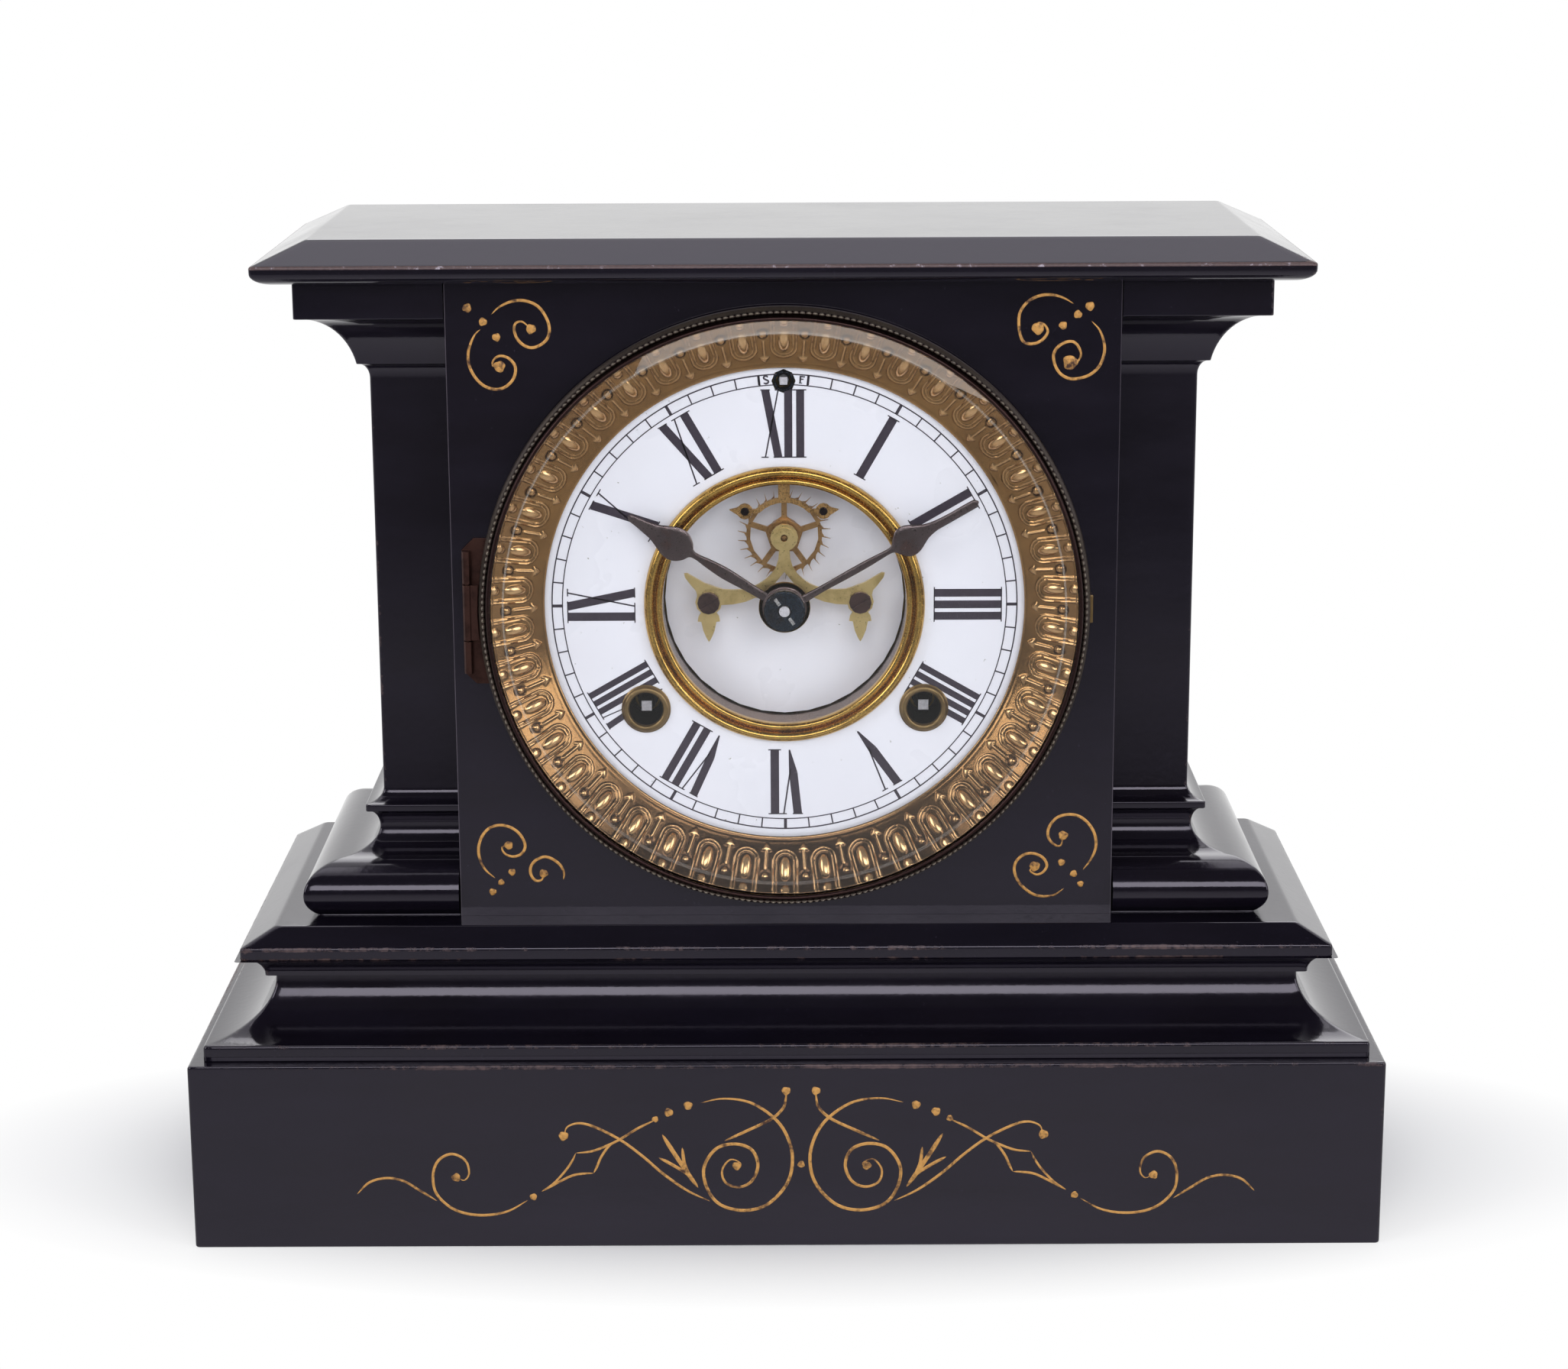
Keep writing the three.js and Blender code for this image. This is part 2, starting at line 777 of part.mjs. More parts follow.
addPiece(clock, 'roof_slab', cut(
  join(roofBlank, ...[-rodX, rodX].map(
    (x) => upright(rodBossRadius, 8, x, 0, bodyTop, bodyTop + roofRecess + cutOverrun),
  )),
  ...[-rodX, rodX].map(
    (x) => upright(rodRadius + runGap, 8, x, 0, bodyTop - cutOverrun, bodyTop + roofRecess),
  ),
), blackEnamel);

// Tie rods, each with its nut under the base's top
const rodBottom = baseHeight - baseWall - rodTail;
const nutTop = baseHeight - baseWall - seatGap;
[['left_tie_rod', -rodX], ['right_tie_rod', rodX]].forEach(([name, x]) => {
  addPiece(clock, name, join(
    upright(rodRadius, 8, x, 0, rodBottom, rodTop),
    upright(nutAcross, 6, x, 0, nutTop - nutHeight, nutTop),
  ), steel);
});

// Dial pan: spun sheet with a flange on the panel's face, pierced for the regulator
const panFlangeBack = panelFront + seatGap;
const panFloor = dialFront - dialThickness - seatGap;
addPiece(face, 'dial_pan', cut(
  turned([
    [panSeatRadius, panFloor - panSheet],
    [panWallRadius + panSheet, panFloor - panSheet],
    [panWallRadius + panSheet, panFlangeBack],
    [panFlangeRadius, panFlangeBack],
    [panFlangeRadius, panFlangeBack + panSheet],
    [panWallRadius, panFlangeBack + panSheet],
    [panWallRadius, panFloor],
    [panSeatRadius, panFloor],
    [panSeatRadius, panFloor - panSheet],
  ], 40),
  rod(regulatorHole, 8, panFloor - panSheet - cutOverrun, panFloor + cutOverrun, 0, regulatorRise),
), agedBrass);

// Porcelain chapter ring with holes for the two winding arbors and the regulator
const windingPlaces = [[windingX, -windingDrop], [-windingX, -windingDrop]];
addPiece(face, 'chapter_dial', plate(
  circle(chapterOuter, 56),
  [
    circle(chapterInner, 36),
    ...windingPlaces.map(([x, y]) => circle(grommetTube + seatGap, 12, x, y)),
    circle(regulatorHole, 8, 0, regulatorRise),
  ],
  dialFront - dialThickness,
  dialFront,
), porcelain);

// Brass well ring: beaded rim on the dial, wall down to the centre dial, notch for the anchor
const wellBack = wellFront - centreDialThickness - 2 * seatGap - wellWall;
const rimBack = dialFront + seatGap;
const rimShares = [[1, 0], [1, 0.5], [0.76, 0.9], [0.56, 0.6], [0.3, 1], [0, 0.6]];
const rimWidth = wellRingRadius - wellRadius;
addPiece(face, 'well_ring', cut(
  turned([
    [wellRadius + wellWall, wellBack],
    [wellRadius + wellWall, rimBack],
    ...rimShares.map(([r, f]) => [wellRadius + rimWidth * r, rimBack + wellRingRise * f]),
    [wellRadius, wellBack + wellWall],
    [wellRadius - wellFlange, wellBack + wellWall],
    [wellRadius - wellFlange, wellBack],
    [wellRadius + wellWall, wellBack],
  ], 36),
  plate(
    rectangle(-wellNotch / 2, wellRadius - cutOverrun, wellNotch / 2, wellRadius + wellWall + cutOverrun),
    [],
    anchorBack - 2 * anchorSheet,
    rimBack - seatGap,
  ),
), brass);

// Porcelain centre dial at the bottom of the well
const bridgeScrews = [-1, 1].map((side) => [side * bridgeScrewX, bridgeScrewRise]);
addPiece(face, 'centre_dial', plate(
  circle(wellRadius - seatGap, 32),
  [
    circle(plateHourHole, 12),
    circle(arborRadius + 2 * runGap, 8, 0, escapeRise),
    ...bridgeScrews.map(([x, y]) => circle(bridgePost + 2 * runGap, 8, x, y)),
  ],
  wellFront - centreDialThickness,
  wellFront,
), porcelain);

// Turned rings in the winding holes
windingPlaces.forEach(([x, y]) => {
  addPiece(face, x > 0 ? 'right_winding_ring' : 'left_winding_ring', turned([
    [grommetInner, dialFront - dialThickness],
    [grommetTube, dialFront - dialThickness],
    [grommetTube, rimBack],
    [grommetOuter, rimBack],
    [grommetOuter - grommetRise / 2, rimBack + grommetRise],
    [grommetInner, rimBack + grommetRise],
    [grommetInner, dialFront - dialThickness],
  ], 14).translate(x, y, 0), agedBrass);
});

addPiece(face, 'regulator_ring', turned([
  [regulatorRingInner, panFloor],
  [regulatorRingOuter - seatGap, panFloor],
  [regulatorRingOuter - seatGap, dialFront + seatGap],
  [regulatorRingInner, dialFront + seatGap],
  [regulatorRingInner, panFloor],
], 10).translate(0, regulatorRise, 0), blueSteel);

// Door: bezel ring with a beaded outer edge and a thin lip over the glass
const bezelFront = bezelBack + bezelDepth;
const glassFront = glassBack + glassThickness;
addPiece(face, 'bezel', turned([
  [bezelRadius - bezelWall, bezelBack],
  [bezelRadius, bezelBack],
  [bezelRadius, bezelFront - 1.5 * bezelBeadDrop],
  [bezelRadius - bezelBeadDrop, bezelFront - bezelBeadDrop + seatGap],
  [bezelLipRadius + bezelBeadDrop / 2, bezelFront],
  [bezelLipRadius, bezelFront],
  [bezelLipRadius, glassBack + glassEdge + 1.2 * seatGap],
  [bezelRadius - bezelWall, glassBack + glassEdge + 1.2 * seatGap],
  [bezelRadius - bezelWall, bezelBack],
], 40), agedBrass);

addPiece(face, 'bezel_glass', turned([
  [0, glassBack],
  [glassRadius, glassBack],
  [glassRadius, glassBack + glassEdge],
  [glassRadius - glassBevel, glassFront],
  [0, glassFront],
], 40), clearGlass);

// Embossed sight ring: a cone of sheet whose face swells into an egg between darts, all round
const sightRows = [
  { reach: 0, dart: 0, egg: 0 },
  { reach: 0.25, dart: 0.8, egg: 0 },
  { reach: 0.62, dart: 0, egg: 1 },
  { reach: 1, dart: 0, egg: 0 },
];
const sightThirds = ['dart', 'egg', 'egg'];
const sightColumns = sightEggs * sightThirds.length;

function sightPoint(reach, lift, column) {
  const radius = THREE.MathUtils.lerp(sightInner, sightOuter, reach);
  const bow = Math.sin(Math.PI * reach) * sightSheet;
  const forward = THREE.MathUtils.lerp(sightInnerForward, sightOuterForward, reach) + bow + lift;
  const place = polar(radius, Math.PI / 2 + (turn * column) / sightColumns);
  return new THREE.Vector3(place.x, place.y, forward);
}

const sightSections = steps(sightColumns).map((column) => {
  const third = sightThirds[column % sightThirds.length];
  const faceRow = sightRows.map((row) => sightPoint(row.reach, sightRelief * row[third], column));
  return [...faceRow, sightPoint(0.5, -2 * sightSheet, column)];
});
addPiece(face, 'sight_ring', skin(sightSections, null), gilt);

// Bezel hinge at the left: a leaf on the panel with two knuckles and the pin, and one on the bezel
const hingeLeafBack = panelFront + seatGap;
const knucklePart = (radius, sides, from, to) => welded(
  new THREE.CylinderGeometry(radius, radius, to - from, sides).translate(0, (from + to) / 2, 0),
);
const atHinge = (geometry) => geometry.translate(-hingeX, 0, hingeForward);
const caseKnuckle = doorKnuckleHeight / 2 + seatGap;
const leafHalf = hingeHeight / 2;
const leafOutline = [
  point(-hingeLeafEdge, -leafHalf + hingeChamfer),
  point(-hingeLeafEdge + hingeChamfer, -leafHalf),
  point(-panFlangeRadius + 2 * hingeChamfer, -leafHalf),
  point(-panFlangeRadius + 2 * hingeChamfer, leafHalf),
  point(-hingeLeafEdge + hingeChamfer, leafHalf),
  point(-hingeLeafEdge, leafHalf - hingeChamfer),
];
const caseLeaf = join(
  cut(
    plate(leafOutline, [], hingeLeafBack, hingeLeafBack + hingeLeafSheet),
    rod(panFlangeRadius + seatGap, 60, hingeLeafBack - cutOverrun, hingeLeafBack + 2 * cutOverrun),
  ),
  ...[-1, 1].map((side) => {
    const ends = [side * caseKnuckle, side * (leafHalf - hingeChamfer)].sort((a, b) => a - b);
    const web = plate(
      rectangle(-hingeX - knuckleRadius, ends[0], -hingeX + knuckleRadius / 2, ends[1]),
      [],
      hingeLeafBack + hingeLeafSheet / 2,
      hingeForward,
    );
    return join(atHinge(knucklePart(knuckleRadius, 10, ends[0], ends[1])), web);
  }),
);
addPiece(face, 'hinge_case_leaf', join(caseLeaf, atHinge(
  knucklePart(hingePinRadius, 8, -leafHalf + hingeChamfer, leafHalf - hingeChamfer),
)), copperBrown);
const bezelAtKnuckle = Math.sqrt(bezelRadius ** 2 - (doorKnuckleHeight / 2) ** 2);
addPiece(face, 'hinge_door_leaf', cut(
  join(
    atHinge(knucklePart(knuckleRadius, 10, -doorKnuckleHeight / 2, doorKnuckleHeight / 2)),
    cut(
      plate(
        rectangle(-hingeX, -doorKnuckleHeight / 2, -bezelAtKnuckle, doorKnuckleHeight / 2),
        [],
        hingeForward,
        hingeForward + hingeLeafSheet,
      ),
      rod(bezelRadius + seatGap, 60, hingeForward - cutOverrun, hingeForward + 2 * cutOverrun),
    ),
  ),
  atHinge(knucklePart(hingePinRadius + runGap / 2, 8, -doorKnuckleHeight, doorKnuckleHeight)),
), copperBrown);

// Catch at the right of the door: a tab behind the bezel that grips over the pan's flange
const catchInner = panFlangeRadius + seatGap;
addPiece(face, 'bezel_catch', plate(
  rectangle(catchInner, -catchWidth / 2, catchInner + catchReach, catchWidth / 2),
  [],
  hingeLeafBack,
  bezelBack,
), brass);

// Wheels: triangular teeth, a crossed-out web and an arbor with pivots
const pitchRadius = (teeth, module) => (teeth * module) / 2;

function toothed(teeth, module, firstTooth) {
  const tip = pitchRadius(teeth, module) + addendumShare * module;
  const root = pitchRadius(teeth, module) - dedendumShare * module;
  return steps(teeth * 2).map((i) => polar(i % 2 ? root : tip, firstTooth + (Math.PI * i) / teeth));
}

// Openings between the spokes of a wheel
function crossings(inner, outer, spokeWidth, count, turned = 0) {
  return steps(count).map((i) => {
    const middle = turned + (turn * (i + 0.5)) / count;
    const reach = (radius) => Math.PI / count - Math.asin(spokeWidth / 2 / radius);
    return [
      ...arc(outer, middle - reach(outer), middle + reach(outer), 3),
      ...arc(inner, middle + reach(inner), middle - reach(inner), 1),
    ];
  });
}

const meshDistance = (a, b, module) => pitchRadius(a + b, module) + meshClearance;
const angleTo = (from, to) => to.clone().sub(from).angle();
const pinionPhase = (from, to, leaves) => angleTo(from, to) + Math.PI + Math.PI / leaves;

// The place at given distances from two known places, on the right or left of the line between them
function meetingPlace(a, b, fromA, fromB, side) {
  const line = b.clone().sub(a);
  const length = line.length();
  const along = (fromA ** 2 - fromB ** 2 + length ** 2) / (2 * length);
  const across = side * Math.sqrt(fromA ** 2 - along ** 2);
  line.normalize();
  const square = point(-line.y, line.x);
  return a.clone().addScaledVector(line, along).addScaledVector(square, across);
}

const centre = point(0, 0);
const timeWinding = point(windingX, -windingDrop);
const strikeWinding = point(-windingX, -windingDrop);
const escapeAt = point(0, escapeRise);
const vergeAt = point(0, vergeRise);
const secondAt = meetingPlace(
  timeWinding,
  centre,
  meshDistance(greatTeeth, secondPinion, greatModule),
  meshDistance(secondTeeth, centrePinion, secondModule),
  1,
);
const openDistance = pitchRadius(thirdTeeth + escapePinion, thirdModule)
  + 2 * addendumShare * thirdModule + openMeshGap;
const thirdAt = meetingPlace(
  centre,
  escapeAt,
  meshDistance(centreTeeth, thirdPinion, centreModule),
  openDistance,
  -1,
);
const beside = (from, distance, degrees) => from.clone().add(polar(distance, radians(degrees)));
const strikeSecondAt = beside(strikeWinding, meshDistance(greatTeeth, secondPinion, greatModule), 75);
const strikeThirdAt = beside(
  strikeSecondAt, meshDistance(strikeSecondTeeth, strikeThirdPinion, strikeModule), 70,
);
const warningAt = beside(strikeThirdAt, meshDistance(strikeThirdTeeth, warningPinion, warningModule), 100);
const flyAt = beside(warningAt, meshDistance(warningTeeth, flyPinion, flyModule), 20);
const minuteWheelModule = (hourModule * (hourTeeth + minutePinion)) / (minuteTeeth + cannonTeeth);
const minuteWheelAt = beside(centre, meshDistance(hourTeeth, minutePinion, hourModule), -100);
const hammerAt = point(-hammerX, -hammerDrop);

const arborBack = backPlateFront + seatGap;
const arborFront = frontPlateBack - seatGap;

// A plain arbor between the plates with a thinner pivot through each
function pivotedArbor(radius, back = arborBack, front = arborFront) {
  return [
    rod(radius, 8, back, front),
    rod(pivotRadius, 6, backPlateBack, frontPlateBack + plateThickness),
  ];
}

function crossedWheel(outline, hub, rim, spokeWidth, spokes, back, front, bore = null) {
  const holes = crossings(hub, rim, spokeWidth, spokes);
  return plate(outline, bore ? [...holes, bore] : holes, back, front);
}

const placed = (geometry, at) => geometry.translate(at.x, at.y, 0);
const spokeWidth = (module) => spokeBase + 2 * module;
const rimOf = (teeth, module) => pitchRadius(teeth, module) - rimShare * module;

// Winding arbor with its ratchet and squared end
function windingArbor() {
  const ratchet = steps(12).flatMap((i) => [
    polar(ratchetRadius, (turn * i) / 12),
    polar(ratchetRadius - ratchetToothDepth, (turn * (i + 0.12)) / 12),
  ]);
  const ratchetBack = greatWheelBack + greatWheelSheet + seatGap;
  const square = windingSquare / 2;
  return join(
    rod(windingArborRadius, 10, arborBack, arborFront),
    rod(windingArborRadius - 2 * seatGap, 10, backPlateBack, windingFront - 2 * windingSquare),
    plate(ratchet, [], ratchetBack, ratchetBack + ratchetThickness),
    plate(rectangle(-square, -square, square, square), [], arborFront, windingFront),
  );
}

// Great wheel, loose on the winding arbor, with the click that holds the ratchet
function greatWheel(mate) {
  const at = mate.from;
  const front = greatWheelBack + greatWheelSheet;
  const click = shifted(
    rectangle(-windingArborRadius / 2, 0, windingArborRadius / 2, windingArborRadius),
    0,
    ratchetRadius + runGap,
  );
  return join(
    crossedWheel(
      toothed(greatTeeth, greatModule, angleTo(at, mate.to)),
      ratchetRadius + windingArborRadius + 2 * runGap,
      rimOf(greatTeeth, greatModule),
      spokeWidth(greatModule),
      4,
      greatWheelBack,
      front,
      circle(windingArborRadius + runGap, 12),
    ),
    plate(click, [], front - seatGap, front + seatGap + ratchetThickness),
  );
}

// Mainspring: an open spiral strip from the arbor out to its pillar
function spiral(inner, outer, strip, turns, perTurn, startAngle) {
  const count = turns * perTurn;
  const at = (i, offset) => polar(
    THREE.MathUtils.lerp(inner, outer, i / count) + offset,
    startAngle + (turn * i) / perTurn,
  );
  return [
    ...steps(count + 1).map((i) => at(i, strip / 2)),
    ...steps(count + 1).reverse().map((i) => at(i, -strip / 2)),
  ];
}

[['time', timeWinding, secondAt], ['strike', strikeWinding, strikeSecondAt]].forEach(([name, at, next]) => {
  const outwardAngle = name === 'time' ? radians(-45) : radians(-135);
  addPiece(face, `${name}_winding_arbor`, placed(windingArbor(), at), steel);
  addPiece(face, `${name}_great_wheel`, placed(greatWheel({ from: at, to: next }), at), brass);
  addPiece(face, `${name}_mainspring`, placed(plate(
    spiral(springInner, springOuter, springStrip, springTurns, 8, outwardAngle),
    [],
    springFront - springWidth,
    springFront,
  ), at), blueSteel);
});

// Second wheel of the time train
addPiece(face, 'time_second_wheel', placed(join(
  ...pivotedArbor(arborRadius),
  plate(
    toothed(secondPinion, greatModule, pinionPhase(timeWinding, secondAt, secondPinion)),
    [],
    secondPinionBack,
    secondPinionBack + secondPinionLength,
  ),
  crossedWheel(
    toothed(secondTeeth, secondModule, angleTo(secondAt, centre)),
    4 * arborRadius,
    rimOf(secondTeeth, secondModule),
    spokeWidth(secondModule),
    4,
    secondWheelBack,
    secondWheelBack + wheelSheet,
  ),
), secondAt), brass);

// Centre wheel: a tube on the centre arbor, held to it by friction only
addPiece(face, 'centre_wheel', cut(
  join(
    rod(centreTubeRadius, 12, centrePinionBack, centreWheelBack + wheelSheet),
    plate(
      toothed(centrePinion, secondModule, pinionPhase(secondAt, centre, centrePinion)),
      [],
      centrePinionBack,
      centrePinionBack + centrePinionLength,
    ),
    crossedWheel(
      toothed(centreTeeth, centreModule, angleTo(centre, thirdAt)),
      1.5 * centreTubeRadius,
      rimOf(centreTeeth, centreModule),
      spokeWidth(centreModule),
      4,
      centreWheelBack,
      centreWheelBack + wheelSheet,
    ),
  ),
  rod(centreBore, 10, centrePinionBack - cutOverrun, centreWheelBack + wheelSheet + cutOverrun),
), brass);

// Third wheel of the time train
addPiece(face, 'third_wheel', placed(join(
  ...pivotedArbor(fineArborRadius),
  plate(
    toothed(thirdPinion, centreModule, pinionPhase(centre, thirdAt, thirdPinion)),
    [],
    thirdPinionBack,
    thirdPinionBack + thirdPinionLength,
  ),
  crossedWheel(
    toothed(thirdTeeth, thirdModule, angleTo(thirdAt, escapeAt)),
    4 * fineArborRadius,
    rimOf(thirdTeeth, thirdModule),
    spokeWidth(thirdModule),
    4,
    thirdWheelBack,
    thirdWheelBack + wheelSheet,
  ),
), thirdAt), brass);

// Strike train
addPiece(face, 'strike_second_wheel', placed(join(
  ...pivotedArbor(arborRadius),
  plate(
    toothed(secondPinion, greatModule, pinionPhase(strikeWinding, strikeSecondAt, secondPinion)),
    [],
    secondPinionBack,
    secondPinionBack + secondPinionLength,
  ),
  crossedWheel(
    toothed(strikeSecondTeeth, strikeModule, angleTo(strikeSecondAt, strikeThirdAt)),
    4 * arborRadius,
    rimOf(strikeSecondTeeth, strikeModule),
    spokeWidth(strikeModule),
    4,
    secondWheelBack,
    secondWheelBack + wheelSheet,
  ),
), strikeSecondAt), brass);

addPiece(face, 'strike_third_wheel', placed(join(
  ...pivotedArbor(arborRadius),
  plate(
    toothed(strikeThirdPinion, strikeModule, pinionPhase(strikeSecondAt, strikeThirdAt, strikeThirdPinion)),
    [],
    strikeThirdPinionBack,
    strikeThirdPinionBack + strikeThirdPinionLength,
  ),
  crossedWheel(
    toothed(strikeThirdTeeth, warningModule, angleTo(strikeThirdAt, warningAt)),
    3 * arborRadius,
    rimOf(strikeThirdTeeth, warningModule),
    spokeWidth(warningModule),
    4,
    strikeThirdWheelBack,
    strikeThirdWheelBack + wheelSheet,
  ),
), strikeThirdAt), brass);

addPiece(face, 'warning_wheel', placed(join(
  ...pivotedArbor(fineArborRadius),
  plate(
    toothed(warningPinion, warningModule, pinionPhase(strikeThirdAt, warningAt, warningPinion)),
    [],
    warningPinionBack,
    warningPinionBack + warningPinionLength,
  ),
  crossedWheel(
    toothed(warningTeeth, flyModule, angleTo(warningAt, flyAt)),
    4 * fineArborRadius,
    rimOf(warningTeeth, flyModule),
    spokeWidth(flyModule),
    4,
    warningWheelBack,
    warningWheelBack + wheelSheet,
  ),
), warningAt), brass);

// Fly: a sheet fan on its own arbor
addPiece(face, 'fly', placed(join(
  ...pivotedArbor(fineArborRadius),
  plate(
    toothed(flyPinion, flyModule, pinionPhase(warningAt, flyAt, flyPinion)),
    [],
    flyPinionBack,
    flyPinionBack + flyPinionLength,
  ),
  plate(rectangle(-flyRadius, -flySheet / 2, flyRadius, flySheet / 2), [], flyBladeBack, flyBladeBack + flyLength),
), flyAt), steel);

// Motion work: cannon pinion on the centre arbor, minute wheel and hour wheel with its pipe
addPiece(face, 'centre_arbor', join(
  rod(centreArborRadius, 10, arborBack, centreArborFront),
  rod(pivotRadius, 8, backPlateBack, arborBack + cutOverrun),
  plate(
    toothed(cannonTeeth, minuteWheelModule, angleTo(centre, minuteWheelAt)),
    [],
    cannonPinionBack,
    cannonPinionBack + cannonPinionLength,
  ),
), steel);
addPiece(face, 'minute_wheel', placed(cut(
  join(
    plate(
      toothed(minuteTeeth, minuteWheelModule, angleTo(centre, minuteWheelAt) + Math.PI + Math.PI / minuteTeeth),
      [],
      minuteWheelBack,
      minuteWheelBack + wheelSheet,
    ),
    plate(
      toothed(minutePinion, hourModule, angleTo(minuteWheelAt, centre)),
      [],
      minuteWheelBack,
      minuteWheelBack + minutePinionLength,
    ),
  ),
  rod(pivotHole, 8, minuteWheelBack - cutOverrun, minuteWheelBack + minutePinionLength + cutOverrun),
), minuteWheelAt), brass);
addPiece(face, 'hour_wheel', cut(
  join(
    plate(
      toothed(hourTeeth, hourModule, angleTo(centre, minuteWheelAt) + Math.PI / hourTeeth),
      [],
      hourWheelBack,
      hourWheelBack + wheelSheet,
    ),
    rod(hourPipeRadius, 12, hourWheelBack, hourHandBack + handSheet),
    rod(hourCollarRadius, 16, hourCollarBack, hourCollarBack + hourCollarDepth),
  ),
  rod(centreBore, 10, hourWheelBack - cutOverrun, hourHandBack + handSheet + cutOverrun),
), brass);

// Hands: a tapered stem, a pear-shaped pad and a drawn-out tip, cut from sheet
const padShares = [[1.2, 0.62], [1.62, 0.42], [2.1, 0.26], [2.7, 0.14]];

function handOutline(length, padAt, padRadius, rootWidth, neckWidth, tipWidth) {
  const neckAt = padAt - padRadius * Math.cos(Math.asin(neckWidth / 2 / padRadius));
  const stem = [[0, rootWidth / 2], [padAt / 4, rootWidth / 2], [neckAt, neckWidth / 2]];
  const bulge = [130, 105, 80, 60].map((degrees) => [
    padAt + padRadius * Math.cos(radians(degrees)),
    padRadius * Math.sin(radians(degrees)),
  ]);
  const taper = padShares.map(([along, across]) => [padAt + padRadius * along * 0.9, padRadius * across]);
  const edge = [...stem, ...bulge, ...taper, [length, tipWidth / 2]];
  const near = edge.map(([along, across]) => point(along, -across));
  const far = edge.map(([along, across]) => point(along, across)).reverse();
  return [...near, ...far];
}

const clockAngle = (degrees) => Math.PI / 2 - radians(degrees);

function hand(outline, hubRadius, bore, back, degrees) {
  const front = back + handSheet;
  return cut(
    join(plate(outline, [], back, front), rod(hubRadius, 16, back, front)),
    rod(bore, 12, back - cutOverrun, front + cutOverrun),
  ).rotateZ(clockAngle(degrees));
}

addPiece(face, 'hour_hand', hand(
  handOutline(hourLength, hourPadAt, hourPadRadius, hourRootWidth, hourNeckWidth, handTipWidth),
  hourHubRadius,
  hourPipeRadius + seatGap,
  hourHandBack,
  hourAngle,
), rustySteel);
addPiece(face, 'minute_hand', hand(
  handOutline(minuteLength, minutePadAt, minutePadRadius, minuteRootWidth, minuteNeckWidth, handTipWidth),
  minuteHubRadius,
  centreArborRadius + seatGap,
  minuteHandBack,
  minuteAngle,
), rustySteel);

// Round hand nut; the two ends of its cross pin stand out beside the arbor
const nutFront = nutBack + nutThickness;
const crossPinBack = nutFront - crossPinWidth / 2;
const crossPinEnds = [0, Math.PI].map((half) => plate(
  rectangle(centreArborRadius + 2 * seatGap, -crossPinWidth / 2, crossPinLength / 2, crossPinWidth / 2),
  [],
  crossPinBack,
  crossPinBack + crossPinWidth,
).rotateZ(half + radians(crossPinDegrees)));
addPiece(face, 'hand_nut', join(turned([
  [centreArborRadius + seatGap, nutBack],
  [nutRadius, nutBack],
  [nutRadius, nutFront - seatGap],
  [nutRadius - seatGap, nutFront],
  [centreArborRadius + seatGap, nutFront],
  [centreArborRadius + seatGap, nutBack],
], 18), ...crossPinEnds), blueSteel);

// Plates: an outline with a waist, an ear for the regulator, pivot holes and openings;
// the front plate has the minute wheel's stud and four straps, the back plate the pillars
const plateOutline = [
  point(-plateHalfWidth, -plateBottom + plateCorner),
  point(-plateHalfWidth + plateCorner, -plateBottom),
  point(-earHalfWidth, -plateBottom + plateWaist / 2),
  point(earHalfWidth, -plateBottom + plateWaist / 2),
  point(plateHalfWidth - plateCorner, -plateBottom),
  point(plateHalfWidth, -plateBottom + plateCorner),
  point(plateHalfWidth - plateWaist / 2, 0),
  point(plateHalfWidth - plateWaist, plateTop - plateCorner),
  point(plateHalfWidth - 2 * plateCorner, plateTop),
  point(2 * earHalfWidth, plateTop),
  point(earHalfWidth, plateTop + earHalfWidth),
  point(earHalfWidth, earTop),
  point(-earHalfWidth, earTop),
  point(-earHalfWidth, plateTop + earHalfWidth),
  point(-2 * earHalfWidth, plateTop),
  point(-plateHalfWidth + 2 * plateCorner, plateTop),
  point(-plateHalfWidth + plateWaist, plateTop - plateCorner),
  point(-plateHalfWidth + plateWaist / 2, 0),
];
const pivotHoles = [
  secondAt, thirdAt, strikeSecondAt, strikeThirdAt, warningAt, flyAt, hammerAt,
].map((at) => circle(pivotHole, 6, at.x, at.y));
const sharedHoles = [
  ...pivotHoles,
  circle(vergeArborRadius + runGap, 8, vergeAt.x, vergeAt.y),
  circle(regulatorArborRadius + runGap, 8, 0, regulatorRise),
];
const pillarPlaces = [
  [-lowPillarX, -lowPillarDrop],
  [lowPillarX, -lowPillarDrop],
  [topPillarX, topPillarRise],
  [-topPillarX, topPillarRise],
];
const footStraps = pillarPlaces.map(([x, y]) => {
  const from = point(x, y);
  const to = point(Math.sign(x) * footScrewX, Math.sign(y) * footScrewRise);
  const along = to.clone().sub(from).normalize().multiplyScalar(footWidth / 2);
  return plate(
    strip(from.sub(along), to.add(along), footWidth),
    [],
    plateFront - seatGap,
    plateFront + footSheet,
  );
});
const sideWindow = [
  point(sideWindowInner, sideWindowBottom),
  point(sideWindowOuter, sideWindowBottom),
  point(sideWindowOuter - windowSlant, sideWindowTop),
  point(sideWindowInner + windowSlant, sideWindowTop),
];
const lowWindow = [
  point(-lowWindowHalf, -lowWindowDrop),
  point(lowWindowHalf, -lowWindowDrop),
  point(lowWindowHalf - windowSlant, -lowWindowDrop + lowWindowHeight),
  point(windowSlant - lowWindowHalf, -lowWindowDrop + lowWindowHeight),
];
const plateWindows = [sideWindow, lowWindow];
